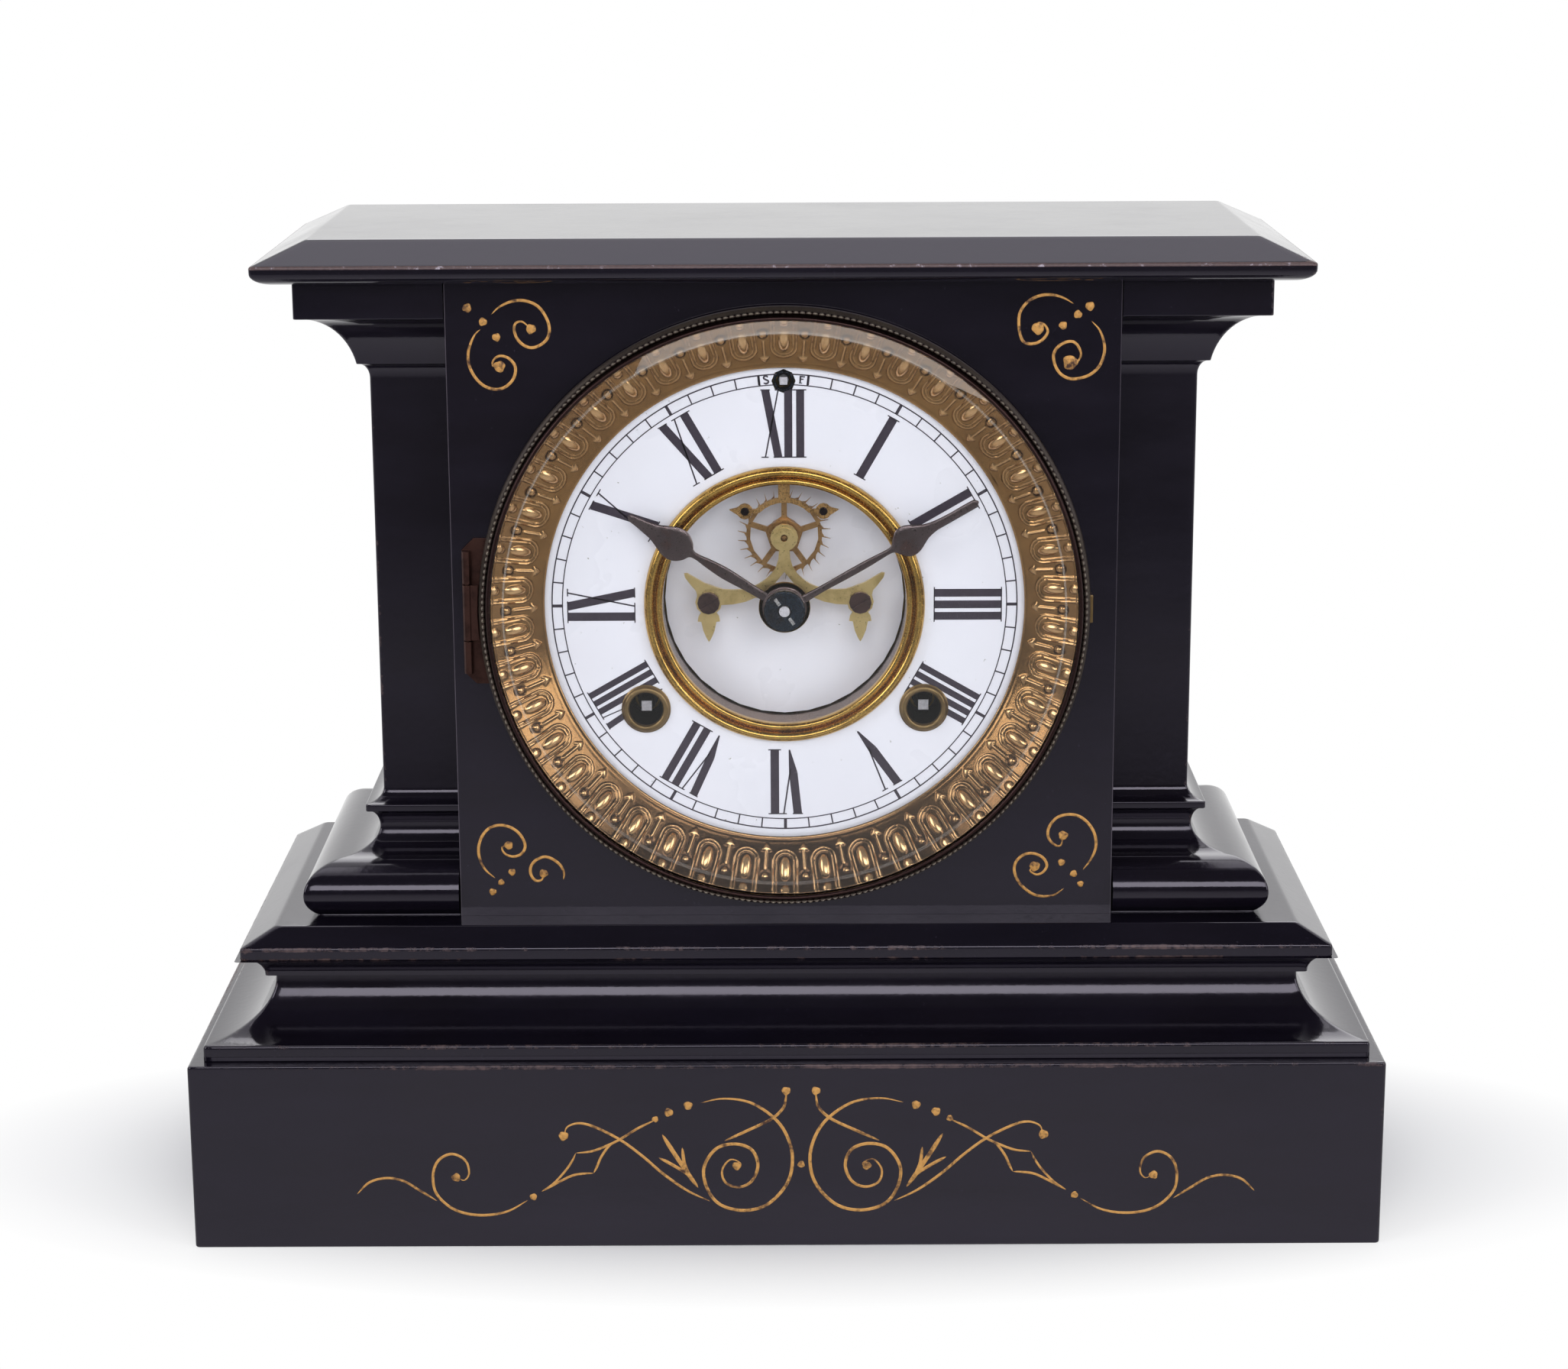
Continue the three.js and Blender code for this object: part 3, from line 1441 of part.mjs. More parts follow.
addPiece(face, 'front_plate', join(
  plate(plateOutline, [
    ...sharedHoles,
    ...plateWindows,
    ...windingPlaces.map(([x, y]) => circle(windingArborRadius, 8, x, y)),
    circle(plateHourHole, 10),
    circle(arborRadius + runGap, 6, 0, escapeRise),
  ], frontPlateBack, plateFront),
  placed(rod(pivotRadius, 6, minuteWheelBack - seatGap, plateFront - seatGap), minuteWheelAt),
  ...footStraps,
), brass);
addPiece(face, 'back_plate', join(
  plate(plateOutline, [
    ...sharedHoles,
    ...plateWindows,
    ...windingPlaces.map(([x, y]) => circle(windingArborRadius, 8, x, y)),
    circle(pivotHole, 6),
    circle(pivotHole, 6, 0, escapeRise),
  ], backPlateBack, backPlateFront),
  ...pillarPlaces.map(([x, y]) => rod(pillarRadius, 8, backPlateFront - seatGap, frontPlateBack, x, y)),
), brass);

// Escape wheel: thirty undercut pointed teeth, five spokes, a boss and a long arbor
function escapeOutline() {
  const atRadius = (radius, offset, angle) => polar(radius, angle + offset / radius);
  return steps(escapeTeeth).flatMap((i) => {
    const angle = (-turn * i) / escapeTeeth;
    const waist = THREE.MathUtils.lerp(escapeRoot, escapeTipRadius, toothWaistShare);
    return [
      atRadius(escapeRoot, toothUndercut + toothRootWidth, angle),
      atRadius(waist, toothUndercut * (1 - toothWaistShare) + toothWaistWidth, angle),
      atRadius(escapeTipRadius, 0, angle),
      atRadius(escapeRoot, toothUndercut, angle),
    ];
  }).reverse();
}

const escapePhase = radians(escapeRestDegrees);
const escapeFront = escapeBack + escapeSheet;
addPiece(face, 'escape_wheel', placed(join(
  rod(fineArborRadius, 8, arborBack, bridgeBack - seatGap),
  rod(pivotRadius, 6, backPlateBack, bridgeBack + bridgeSheet),
  plate(
    toothed(escapePinion, thirdModule, 0),
    [],
    escapePinionBack,
    escapePinionBack + escapePinionLength,
  ),
  plate(
    escapeOutline(),
    crossings(escapeHub, escapeRim, escapeSpoke, 5, Math.PI / 2 - escapePhase),
    escapeBack,
    escapeFront,
  ).rotateZ(escapePhase),
  rod(escapeBoss, 14, escapeBack - escapeBossDepth, escapeFront + escapeBossDepth),
), escapeAt), brass);

// Verge: the anchor with its two half-round pallets, the arbor and the crutch in one piece
const palletAngles = [Math.PI / 2 + radians(palletHalfAngle), Math.PI / 2 - radians(palletHalfAngle)];
const anchorFront = anchorBack + anchorSheet;
const crutchBack = crutchFront - crutchSheet;

function anchorArm(side) {
  const angle = side < 0 ? palletAngles[0] : palletAngles[1];
  const boss = polar(escapeTipRadius, angle).add(escapeAt);
  const inward = Math.PI / 2;
  const armEnd = THREE.MathUtils.lerp(inward, angle, 0.8);
  const band = [
    ...arc(anchorOuter, inward, armEnd, 4, 0, escapeRise),
    polar(escapeTipRadius + palletBossRadius / 2, angle).add(escapeAt),
    polar(escapeTipRadius - palletBossRadius / 2, angle).add(escapeAt),
    ...arc(anchorInner, armEnd, inward, 4, 0, escapeRise),
  ];
  const reach = palletBossRadius + anchorTip;
  const barb = [
    point(0, palletBossRadius * 0.95),
    point(side * reach * 0.55, palletBossRadius * 0.45),
    point(side * reach, anchorTipRise),
    point(side * reach * 0.55, -palletBossRadius * 0.35),
    point(0, -palletBossRadius * 0.95),
  ].map((p) => p.add(boss));
  return join(
    plate(band, [], anchorBack, anchorFront),
    rod(palletBossRadius, 12, anchorBack, anchorFront, boss.x, boss.y),
    rod(palletRivet, 8, anchorBack, anchorFront + palletRivetRise, boss.x, boss.y),
    plate(barb, [], anchorBack, anchorFront),
  );
}

// A pallet is half a pin: round towards the coming tooth, flat along the wheel's radius
function pallet(angle) {
  const at = polar(escapeTipRadius, angle).add(escapeAt);
  const half = arc(palletRadius, angle, angle + Math.PI, 6, at.x, at.y);
  return plate(half, [], palletBack, anchorBack + anchorSheet / 2);
}

const crutchEnd = vergeRise - crutchLength;
const forkInner = pendulumRodRadius + seatGap;
const forkOuter = forkInner + crutchSheet;
addPiece(face, 'verge', join(
  rod(vergeArborRadius, 8, vergeBack, vergeFront, vergeAt.x, vergeAt.y),
  rod(vergeBoss, 12, anchorBack, anchorFront, vergeAt.x, vergeAt.y),
  plate(
    rectangle(-anchorStem / 2, escapeRise + anchorInner, anchorStem / 2, vergeRise),
    [],
    anchorBack,
    anchorFront,
  ),
  anchorArm(-1),
  anchorArm(1),
  ...palletAngles.map(pallet),
  rod(2 * vergeArborRadius, 8, crutchBack, crutchFront, vergeAt.x, vergeAt.y),
  plate(
    rectangle(-crutchWidth / 2, crutchEnd, crutchWidth / 2, vergeRise),
    [],
    crutchBack,
    crutchFront,
  ),
  plate(
    rectangle(-forkOuter, crutchEnd - crutchWidth, forkOuter, crutchEnd + cutOverrun / 2),
    [],
    crutchBack,
    crutchFront,
  ),
  ...[-1, 1].map((side) => {
    const edges = [side * forkInner, side * forkOuter].sort((a, b) => a - b);
    return plate(
      rectangle(edges[0], crutchEnd - crutchWidth, edges[1], crutchEnd),
      [],
      crutchBack - crutchForkDepth,
      crutchFront,
    );
  }),
), brass);

// Bridge: hub over the escape wheel, stem flaring into two arms, each with a boss, horn and leaf
const armShares = [
  [-0.02, 0.97], [0.072, 0.79], [0.079, 0.67], [0.11, 0.56], [0.172, 0.453], [0.262, 0.362],
  [0.342, 0.303], [0.416, 0.265], [0.563, 0.224], [0.68, 0.218], [0.816, 0.226], [1, 0.235],
  [1, 0], [0.816, -0.004], [0.68, 0.004], [0.52, 0.041], [0.384, 0.103], [-0.02, 0.103],
];
const hornShares = [
  [-0.57, 0.45], [-0.3, 0.51], [0.16, 0.655], [0.52, 0.83], [0.87, 1], [1, 0.99],
  [0.95, 0.845], [0.69, 0.56], [0.52, 0.4], [0.41, 0], [-0.33, 0],
];
const leafShares = [
  [0.64, -0.25], [0.92, -0.36], [1, -0.48], [0.68, -0.49], [0.5, -0.72], [0.22, -0.9], [0, -1],
  [-0.22, -0.9], [-0.5, -0.72], [-0.68, -0.49], [-1, -0.48], [-0.92, -0.36], [-0.64, -0.25],
];
const bridgeFront = bridgeBack + bridgeSheet;
const stretched = (shares, across, up) => shares.map(([x, y]) => point(across * x, up * y));

function bridgeSide(side) {
  const outlines = [
    stretched(armShares, bridgeScrewX, escapeRise),
    shifted(stretched(hornShares, hornReach, hornRise), bridgeScrewX, bridgeScrewRise),
    shifted(stretched(leafShares, leafHalfWidth, leafDrop), bridgeScrewX, bridgeScrewRise),
  ];
  return join(
    rod(bridgeBoss, 12, bridgeBack, bridgeFront, side * bridgeScrewX, bridgeScrewRise),
    ...outlines.map((outline) => plate(side > 0 ? outline : mirrored(outline), [], bridgeBack, bridgeFront)),
    rod(bridgePost, 8, plateFront + seatGap, bridgeBack, side * bridgeScrewX, bridgeScrewRise),
  );
}

const archShoulder = bridgeBore * 0.68;
const archSpring = THREE.MathUtils.lerp(0, bridgeBoreApex, 0.56);
const bridgeHole = [
  point(0, Math.min(bridgeBoreApex, escapeRise - bridgeHub)),
  point(-archShoulder, archSpring),
  ...arc(bridgeBore, radians(150), radians(390), 10),
  point(archShoulder, archSpring),
];
addPiece(face, 'escapement_bridge', cut(
  join(
    rod(bridgeHub, 14, bridgeBack, bridgeFront, 0, escapeRise),
    rod(bridgeHubFace, 14, bridgeBack, bridgeFront + bridgeHubRise, 0, escapeRise),
    rod(bridgeRing, 16, bridgeBack, bridgeFront),
    bridgeSide(-1),
    bridgeSide(1),
  ),
  plate(bridgeHole, [], bridgeBack - cutOverrun, bridgeFront + cutOverrun),
  rod(pivotHole, 8, bridgeBack - cutOverrun, bridgeFront + bridgeHubRise + cutOverrun, 0, escapeRise),
), brass);

// Slotted screws that hold the bridge on its posts
const screwBack = bridgeFront;
const screwFront = screwBack + bridgeScrewRiseForward;
bridgeScrews.forEach(([x, y]) => {
  addPiece(face, x > 0 ? 'right_bridge_screw' : 'left_bridge_screw', cut(
    rod(bridgeScrewHead, 12, screwBack, screwFront, x, y),
    plate(
      rectangle(-bridgeScrewHead - cutOverrun, -screwSlot / 2, bridgeScrewHead + cutOverrun, screwSlot / 2),
      [],
      screwFront - screwSlot,
      screwFront + cutOverrun,
    ).rotateZ(radians(32)).translate(x, y, 0),
  ), darkIron);
});

// Regulator: square at the dial, disc with an eccentric pin behind the back plate
const discFront = slideBarForward + 2 * seatGap + slideSheet;
const discBack = slideBarForward + seatGap;
const regulatorHalf = regulatorSquare / 2;
addPiece(face, 'regulator_arbor', join(
  rod(regulatorArborRadius, 8, discBack, panFloor - panSheet),
  plate(
    rectangle(-regulatorHalf, -regulatorHalf, regulatorHalf, regulatorHalf),
    [],
    panFloor - 2 * panSheet,
    regulatorFront,
  ),
  rod(eccentricRadius, 12, discBack, discFront),
  rod(eccentricPin, 8, slideBarForward - slideSheet, discFront, eccentricThrow, 0),
).translate(0, regulatorRise, 0), steel);

// Slide: a yoke round the eccentric pin, a bar, and jaws that pinch the suspension strip
const slideBack = pendulumForward - suspensionWidth / 2 - seatGap;
const slitFront = pendulumForward + suspensionWidth / 2 + meshClearance;
const barBack = slideBarForward - slideSheet;
const jawLow = vergeRise + slideRise;
const jawHigh = jawLow + slideHeight;
const pinPlay = eccentricPin + meshClearance;
addPiece(face, 'regulator_slide', cut(
  join(
    plate(
      rectangle(-slideHalfWidth, jawLow, slideHalfWidth, jawHigh),
      [],
      slideBack,
      slitFront + slideSheet,
    ),
    plate(
      rectangle(slideHalfWidth - slideBar, jawLow, slideHalfWidth, regulatorRise),
      [],
      barBack,
      slideBarForward,
    ),
    plate(
      rectangle(-yokeHalfWidth, regulatorRise - yokeHalfHeight, yokeHalfWidth, regulatorRise + yokeHalfHeight),
      [],
      barBack,
      slideBarForward,
    ),
  ),
  plate(
    rectangle(-eccentricThrow, regulatorRise - pinPlay, eccentricThrow + 2 * pinPlay, regulatorRise + pinPlay),
    [],
    barBack - cutOverrun,
    slideBarForward + cutOverrun,
  ),
  plate(
    rectangle(-suspensionStrip / 2 - meshClearance, jawLow - cutOverrun,
      suspensionStrip / 2 + meshClearance, jawHigh + cutOverrun),
    [],
    slideBack - cutOverrun,
    slitFront,
  ),
), brass);

// Suspension post on the back plate with a slit for the strip, and the strip itself
const postLow = vergeRise + postRise;
const postRight = slideHalfWidth - slideBar - seatGap;
addPiece(face, 'suspension_post', cut(
  plate(
    rectangle(postRight - postWidth, postLow, postRight, postLow + postHeight),
    [],
    slideBack,
    backPlateBack,
  ),
  plate(
    rectangle(-suspensionStrip / 2 - meshClearance, postLow - cutOverrun,
      suspensionStrip / 2 + meshClearance, postLow + postHeight + cutOverrun),
    [],
    slideBack - cutOverrun,
    slitFront,
  ),
), brass);
addPiece(face, 'suspension_spring', plate(
  rectangle(-suspensionStrip / 2, vergeRise + seatGap, suspensionStrip / 2, vergeRise + suspensionTop),
  [],
  pendulumForward - suspensionWidth / 2,
  pendulumForward + suspensionWidth / 2,
), steel);

// Pendulum: ferrule, wire rod and a lens-shaped bob with its eye and rating nut
const bobCentre = vergeRise - pendulumLength;
const bobTop = bobCentre + bobRadius;
const alongUp = (geometry, forward) => welded(geometry.translate(0, 0, forward));
const uprightRod = (radius, sides, from, to) => alongUp(
  new THREE.CylinderGeometry(radius, radius, to - from, sides).translate(0, (from + to) / 2, 0),
  pendulumForward,
);
addPiece(face, 'pendulum_rod', join(
  plate(
    rectangle(-ferruleWidth / 2, vergeRise - ferruleHeight, ferruleWidth / 2, vergeRise - seatGap),
    [],
    pendulumForward - ferruleWidth / 2,
    pendulumForward + ferruleWidth / 2,
  ),
  uprightRod(pendulumRodRadius, 8, bobTop + bobEyeRise, vergeRise - ferruleHeight + cutOverrun),
), steel);
const bobLens = turned([
  [0, -bobThickness / 2],
  ...bobLensAngles.map((degrees) => [
    bobRadius * Math.cos(radians(degrees)) ** bobLensFullness,
    (-bobThickness / 2) * Math.sin(radians(degrees)),
  ]),
  [0, bobThickness / 2],
], 18).translate(0, bobCentre, pendulumForward);
addPiece(face, 'pendulum_bob', join(
  bobLens,
  uprightRod(bobEye, 8, bobTop - bobEyeRise, bobTop + bobEyeRise - seatGap),
  uprightRod(pendulumRodRadius, 6, bobCentre - bobRadius - bobEyeRise, bobCentre),
  uprightRod(ratingNutRadius, 10, bobCentre - bobRadius - ratingNutHeight - cutOverrun,
    bobCentre - bobRadius - cutOverrun),
), brass);

// Hammer: arbor between the plates, arm behind them, round head beside the gong
const headAt = point(-hammerHeadX, -hammerHeadDrop);
const armFront = backPlateBack - 2 * seatGap;
addPiece(face, 'strike_hammer', join(
  rod(arborRadius, 8, arborBack, arborFront, hammerAt.x, hammerAt.y),
  rod(pivotRadius, 6, armFront - hammerArmSheet, plateFront, hammerAt.x, hammerAt.y),
  rod(2 * arborRadius, 8, armFront - hammerArmSheet, armFront, hammerAt.x, hammerAt.y),
  plate(strip(hammerAt, headAt, hammerArmWidth), [], armFront - hammerArmSheet, armFront),
  rod(arborRadius, 6, hammerHeadBack, armFront, headAt.x, headAt.y),
  rod(hammerHeadRadius, 10, hammerHeadBack, hammerHeadBack + hammerHeadLength, headAt.x, headAt.y),
), darkIron);

// Coil gong: a flat steel spiral pressed into the hub of a cast stand on the plinth
addPiece(face, 'coil_gong', plate(
  spiral(gongInner, gongOuter, gongStrip, gongTurns, 11, Math.PI),
  [],
  gongFront - gongWidth,
  gongFront,
).translate(0, -gongDrop, 0), blueSteel);
const postBack = gongFront - gongWidth - seatGap;
const standLow = -dialAboveSlab;
addPiece(face, 'gong_stand', join(
  rod(gongHubRadius, 12, postBack - gongPostDepth, gongFront, 0, -gongDrop),
  plate(
    rectangle(-gongPostWidth / 2, standLow, gongPostWidth / 2, -gongDrop),
    [],
    postBack - gongPostDepth,
    postBack,
  ),
  plate(
    rectangle(-gongFootWidth / 2, standLow, gongFootWidth / 2, standLow + gongFootHeight),
    [],
    postBack - gongPostDepth,
    postBack - gongPostDepth + gongFootDepth,
  ),
), darkIron);

// Back door: sheet disc with a hinge knuckle and a riveted knob
const doorFront = -panelFront - seatGap;
const doorBack = doorFront - backSheet;
const backHingeForward = doorBack - backKnuckleRadius + backSheet / 2;
const atBackHinge = (geometry) => geometry.translate(backHingeX, 0, backHingeForward);
const backKnuckle = (radius, sides, from, to) => atBackHinge(knucklePart(radius, sides, from, to));
const backKnob = turned([
  [0, doorBack - backKnobHeight],
  [backKnobRadius * 0.8, doorBack - backKnobHeight],
  [backKnobRadius, doorBack - backKnobHeight * 0.75],
  [backKnobRadius * 0.8, doorBack - backKnobHeight * 0.45],
  [backKnobRadius * 0.4, doorBack - backKnobHeight * 0.3],
  [backKnobRadius * 0.5, doorFront - backSheet / 2],
  [0, doorFront - backSheet / 2],
], 12).translate(-backKnobX, 0, 0);
addPiece(face, 'back_door', cut(
  join(
    rod(backDoorRadius, 32, doorBack, doorFront),
    backKnob,
    backKnuckle(backKnuckleRadius, 8, -backKnuckleHeight / 2, backKnuckleHeight / 2),
    plate(
      rectangle(backDoorRadius - backKnuckleHeight, -backKnuckleHeight / 2, backHingeX, backKnuckleHeight / 2),
      [],
      doorBack,
      doorFront - seatGap,
    ),
  ),
  backKnuckle(backPinRadius + meshClearance, 8, -backKnuckleHeight, backKnuckleHeight),
), agedBrass);
const backLeafHalf = backKnuckleHeight * 1.5 + seatGap;
addPiece(face, 'back_door_hinge', join(
  backKnuckle(backPinRadius, 6, -backLeafHalf, backLeafHalf),
  ...[-1, 1].map((side) => {
    const ends = [side * (backKnuckleHeight / 2 + seatGap), side * backLeafHalf].sort((a, b) => a - b);
    return join(
      backKnuckle(backKnuckleRadius, 8, ends[0], ends[1]),
      plate(
        rectangle(backHingeX, ends[0], backHingeX + backKnuckleHeight, ends[1]),
        [],
        doorBack,
        doorFront,
      ),
    );
  }),
), agedBrass);
export default clock;
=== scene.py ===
"""Black enamelled mantel clock with a visible escapement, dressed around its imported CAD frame."""

import math
from functools import partial

import bmesh
import bpy
import numpy as np
from mathutils import Matrix, Vector


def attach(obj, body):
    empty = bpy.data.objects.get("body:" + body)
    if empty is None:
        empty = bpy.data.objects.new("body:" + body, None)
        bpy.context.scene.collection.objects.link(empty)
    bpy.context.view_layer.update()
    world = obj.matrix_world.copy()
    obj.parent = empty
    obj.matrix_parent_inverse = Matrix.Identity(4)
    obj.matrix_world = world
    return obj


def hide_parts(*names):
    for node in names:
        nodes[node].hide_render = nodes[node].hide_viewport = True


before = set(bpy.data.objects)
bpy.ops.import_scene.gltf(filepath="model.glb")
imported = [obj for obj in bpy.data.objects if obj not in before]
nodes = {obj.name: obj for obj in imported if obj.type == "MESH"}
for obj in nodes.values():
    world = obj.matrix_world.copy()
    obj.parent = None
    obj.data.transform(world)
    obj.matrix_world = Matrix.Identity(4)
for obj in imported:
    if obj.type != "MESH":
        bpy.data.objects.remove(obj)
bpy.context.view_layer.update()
scene = bpy.context.scene
scene.view_settings.view_transform = "Standard"


# Camera: stands 0.86 m in front of the clock and looks down on it by 14 degrees, as the photograph does.
camera_place = (0.0013932, -0.8603741, 0.3428396)
camera_pitch, camera_yaw, camera_roll = 0.2417845, 0.00195079, -0.00463905
camera_data = bpy.data.cameras.new("camera")
camera_data.lens = 77.52
camera_data.sensor_width = 36
camera = bpy.data.objects.new("camera", camera_data)
scene.collection.objects.link(camera)
tilt = (
    Matrix.Rotation(camera_roll, 3, "Z")
    @ Matrix.Rotation(camera_pitch, 3, "X")
    @ Matrix(((1, 0, 0), (0, 0, -1), (0, 1, 0)))
    @ Matrix.Rotation(-camera_yaw, 3, "Z")
)
facing = Matrix((tilt[0], -tilt[1], -tilt[2])).transposed()
camera.matrix_world = Matrix.Translation(camera_place) @ facing.to_4x4()
scene.camera = camera


# Studio: a pale table before a white backdrop. Camera and glass rays see both as plain white; mirror rays see
# the white backdrop behind the clock, a table that dims towards the camera, and the dark room in front.
def linear(hex_colour):
    """An sRGB hex colour as linear RGBA: c / 12.92 below 0.04045, else ((c + 0.055) / 1.055) ** 2.4."""
    parts = [int(hex_colour[place:place + 2], 16) / 255 for place in (1, 3, 5)]
    return (*(c / 12.92 if c < 0.04045 else ((c + 0.055) / 1.055) ** 2.4 for c in parts), 1)


def feed(node, inputs):
    """Sets a node's inputs, by name or number, to a value, a hex colour, a socket or another node's result."""
    for socket, value in inputs.items():
        if isinstance(value, bpy.types.Node):
            value = value.outputs[2 if getattr(value, "data_type", "") == "RGBA" else 0]
        if isinstance(value, bpy.types.NodeSocket):
            node.id_data.links.new(value, node.inputs[socket])
        else:
            node.inputs[socket].default_value = linear(value) if isinstance(value, str) else value


def add_node(tree, kind, inputs, **settings):
    """Adds one node of a kind to a tree, with its settings and its inputs. A Mix fed by colours mixes colours."""
    node = tree.nodes.new("ShaderNode" + kind)
    if kind == "Mix" and 6 in inputs:
        node.data_type = "RGBA"
    for name, value in settings.items():
        setattr(node, name, value)
    feed(node, inputs)
    return node


def seen_white(add, mirrored_level):
    """Whether a ray sees the room itself, and how white: 1 straight or through glass, else the mirrored level."""
    path = add("LightPath", {})
    straight = add("Math", {
        0: path.outputs["Is Camera Ray"], 1: path.outputs["Is Transmission Ray"]}, operation="MAXIMUM")
    either = add("Math", {0: straight, 1: path.outputs["Is Glossy Ray"]}, operation="MAXIMUM")
    mirrored = add("Math", {0: path.outputs["Glossy Depth"], 1: 0.5}, operation="GREATER_THAN")
    level = add("Mix", {0: mirrored, 2: 1.0, 3: mirrored_level})
    return either, level


ambient_level = 0.42
room = bpy.data.worlds.new("white_backdrop_room")
room.use_nodes = True
room.node_tree.nodes.clear()
add = partial(add_node, room.node_tree)
where = add("TexCoord", {})
parts = add("SeparateXYZ", {0: where.outputs["Object"]})
depth = add("MapRange", {
    "Value": parts.outputs["Y"], "From Min": -0.1, "From Max": 0.12, "To Min": 0.06, "To Max": 1.0})
seen, level = seen_white(add, depth)
light = add("Background", {"Color": "#f7f8ff", "Strength": ambient_level})
white = add("Background", {"Color": "#ffffff", "Strength": level})
shown = add("MixShader", {0: seen, 1: light, 2: white})
add("OutputWorld", {"Surface": shown})
scene.world = room

floor_half = 3.0
floor_mesh = bpy.data.meshes.new("studio_floor")
floor_mesh.from_pydata(
    [(-floor_half, -floor_half, 0), (floor_half, -floor_half, 0), (floor_half, floor_half, 0),
     (-floor_half, floor_half, 0)], [], [(0, 1, 2, 3)])
floor = bpy.data.objects.new("studio_floor", floor_mesh)
scene.collection.objects.link(floor)
floor_material = bpy.data.materials.new("matt_white_paper")
floor_material.use_nodes = True
floor_material.node_tree.nodes.clear()
add = partial(add_node, floor_material.node_tree)
where = add("TexCoord", {})
narrow = add("VectorMath", {0: where.outputs["Object"], 1: (0.43, 1, 1)}, operation="MULTIPLY")
reach = add("VectorMath", {0: narrow}, operation="LENGTH")
fade = add("MapRange", {"Value": reach.outputs["Value"], "From Min": 0.064, "From Max": 0.102})
parts = add("SeparateXYZ", {0: where.outputs["Object"]})
depth = add("MapRange", {
    "Value": parts.outputs["Y"], "From Min": -0.95, "From Max": -0.15, "To Min": 0.12, "To Max": 0.56})
behind = add("MapRange", {
    "Value": parts.outputs["Y"], "From Min": 0.0, "From Max": 0.2, "To Min": 0.0, "To Max": 1.0})
mirrored = add("Math", {0: depth, 1: behind}, operation="MAXIMUM")
seen, level = seen_white(add, mirrored)
glow_share = add("Math", {0: fade, 1: seen}, operation="MULTIPLY")
paper = add("BsdfDiffuse", {"Color": "#fbfbfc"})
glow = add("Emission", {"Color": "#ffffff", "Strength": level})
shown = add("MixShader", {0: glow_share, 1: paper, 2: glow})
add("OutputMaterial", {"Surface": shown})
floor_mesh.materials.append(floor_material)

lamp_target = Vector((0, 0, 0.13))
for lamp_name, lamp_place, lamp_size, lamp_power in (
    ("overhead_softbox", (-0.1, 0.16, 1.3), (1.3, 0.6), 1.9),
    ("left_softbox", (-1.2, -0.8, 0.75), (0.6, 0.9), 6.5),
    ("right_softbox", (1.2, -0.9, 0.6), (0.6, 0.9), 5.8),
    ("camera_side_softbox", (0.15, -1.5, 0.8), (1.3, 0.6), 9.5),
    ("back_softbox", (0.2, 1.1, 0.9), (1.2, 0.7), 4.0),
):
    lamp_data = bpy.data.lights.new(lamp_name, "AREA")
    lamp_data.shape = "RECTANGLE"
    lamp_data.size, lamp_data.size_y = lamp_size
    lamp_data.energy = lamp_power
    lamp = bpy.data.objects.new(lamp_name, lamp_data)
    scene.collection.objects.link(lamp)
    to_clock = Vector(lamp_place) - lamp_target
    lamp.matrix_world = Matrix.Translation(lamp_place) @ to_clock.to_track_quat("Z", "Y").to_matrix().to_4x4()


# Black enamel on cast iron: japanned, oven-baked and polished. Deep black with a faint violet cast, softly
# waved where it flowed over the casting, dulled by handling, and rubbed through to brown iron on its edges.
def start_material(name):
    """A new material, what adds nodes to it, its Principled shader and its object coordinates."""
    material = bpy.data.materials.new(name)
    material.use_nodes = True
    add = partial(add_node, material.node_tree)
    return material, add, material.node_tree.nodes["Principled BSDF"], add("TexCoord", {}).outputs["Object"]


def per(millimetres):
    """Noise scale for a feature of this size, because object coordinates are metres."""
    return 1000.0 / millimetres


panel_arris_x, panel_arris_y = 0.08262, -0.039
enamel, add, shader, here = start_material("japanned_black_enamel")
flow = add("TexNoise", {"Vector": here, "Scale": per(14), "Detail": 3.0})
peel = add("TexNoise", {"Vector": here, "Scale": per(1.6), "Detail": 2.0})
dust = add("TexNoise", {"Vector": here, "Scale": per(0.55), "Detail": 4.0, "Roughness": 0.7})
level_wipe = add("VectorMath", {0: here, 1: (0.22, 0.22, 1.0)}, operation="MULTIPLY")
haze = add("TexNoise", {"Vector": level_wipe, "Scale": per(9), "Detail": 6.0, "Roughness": 0.62})
chips = add("TexNoise", {"Vector": here, "Scale": per(2.6), "Detail": 6.0, "Roughness": 0.72})
handled = add("TexNoise", {"Vector": here, "Scale": per(55), "Detail": 2.0})
specks = add("MapRange", {"Value": dust, "From Min": 0.66, "From Max": 0.74})
broad_cast = add("MapRange", {"Value": handled, "From Min": 0.38, "From Max": 0.62})
cast_low = add("Mix", {0: broad_cast, 6: "#050408", 7: "#0d0a0d"})
cast = add("Mix", {0: haze, 6: cast_low, 7: "#15121d"})
dusted = add("Mix", {0: specks, 6: cast, 7: "#34303c"})
edge = add("Attribute", {}, attribute_name="edge")
rubbed = add("Math", {0: handled, 1: 0.9, 2: edge.outputs["Fac"]}, operation="MULTIPLY_ADD")
rub = add("Math", {0: rubbed, 1: chips}, operation="ADD")
worn = add("MapRange", {"Value": rub, "From Min": 1.8, "From Max": 2.02})
iron_tone = add("Mix", {0: dust, 6: "#2f2224", 7: "#64504a"})
browned_edge = add("Mix", {0: worn, 6: dusted, 7: iron_tone})
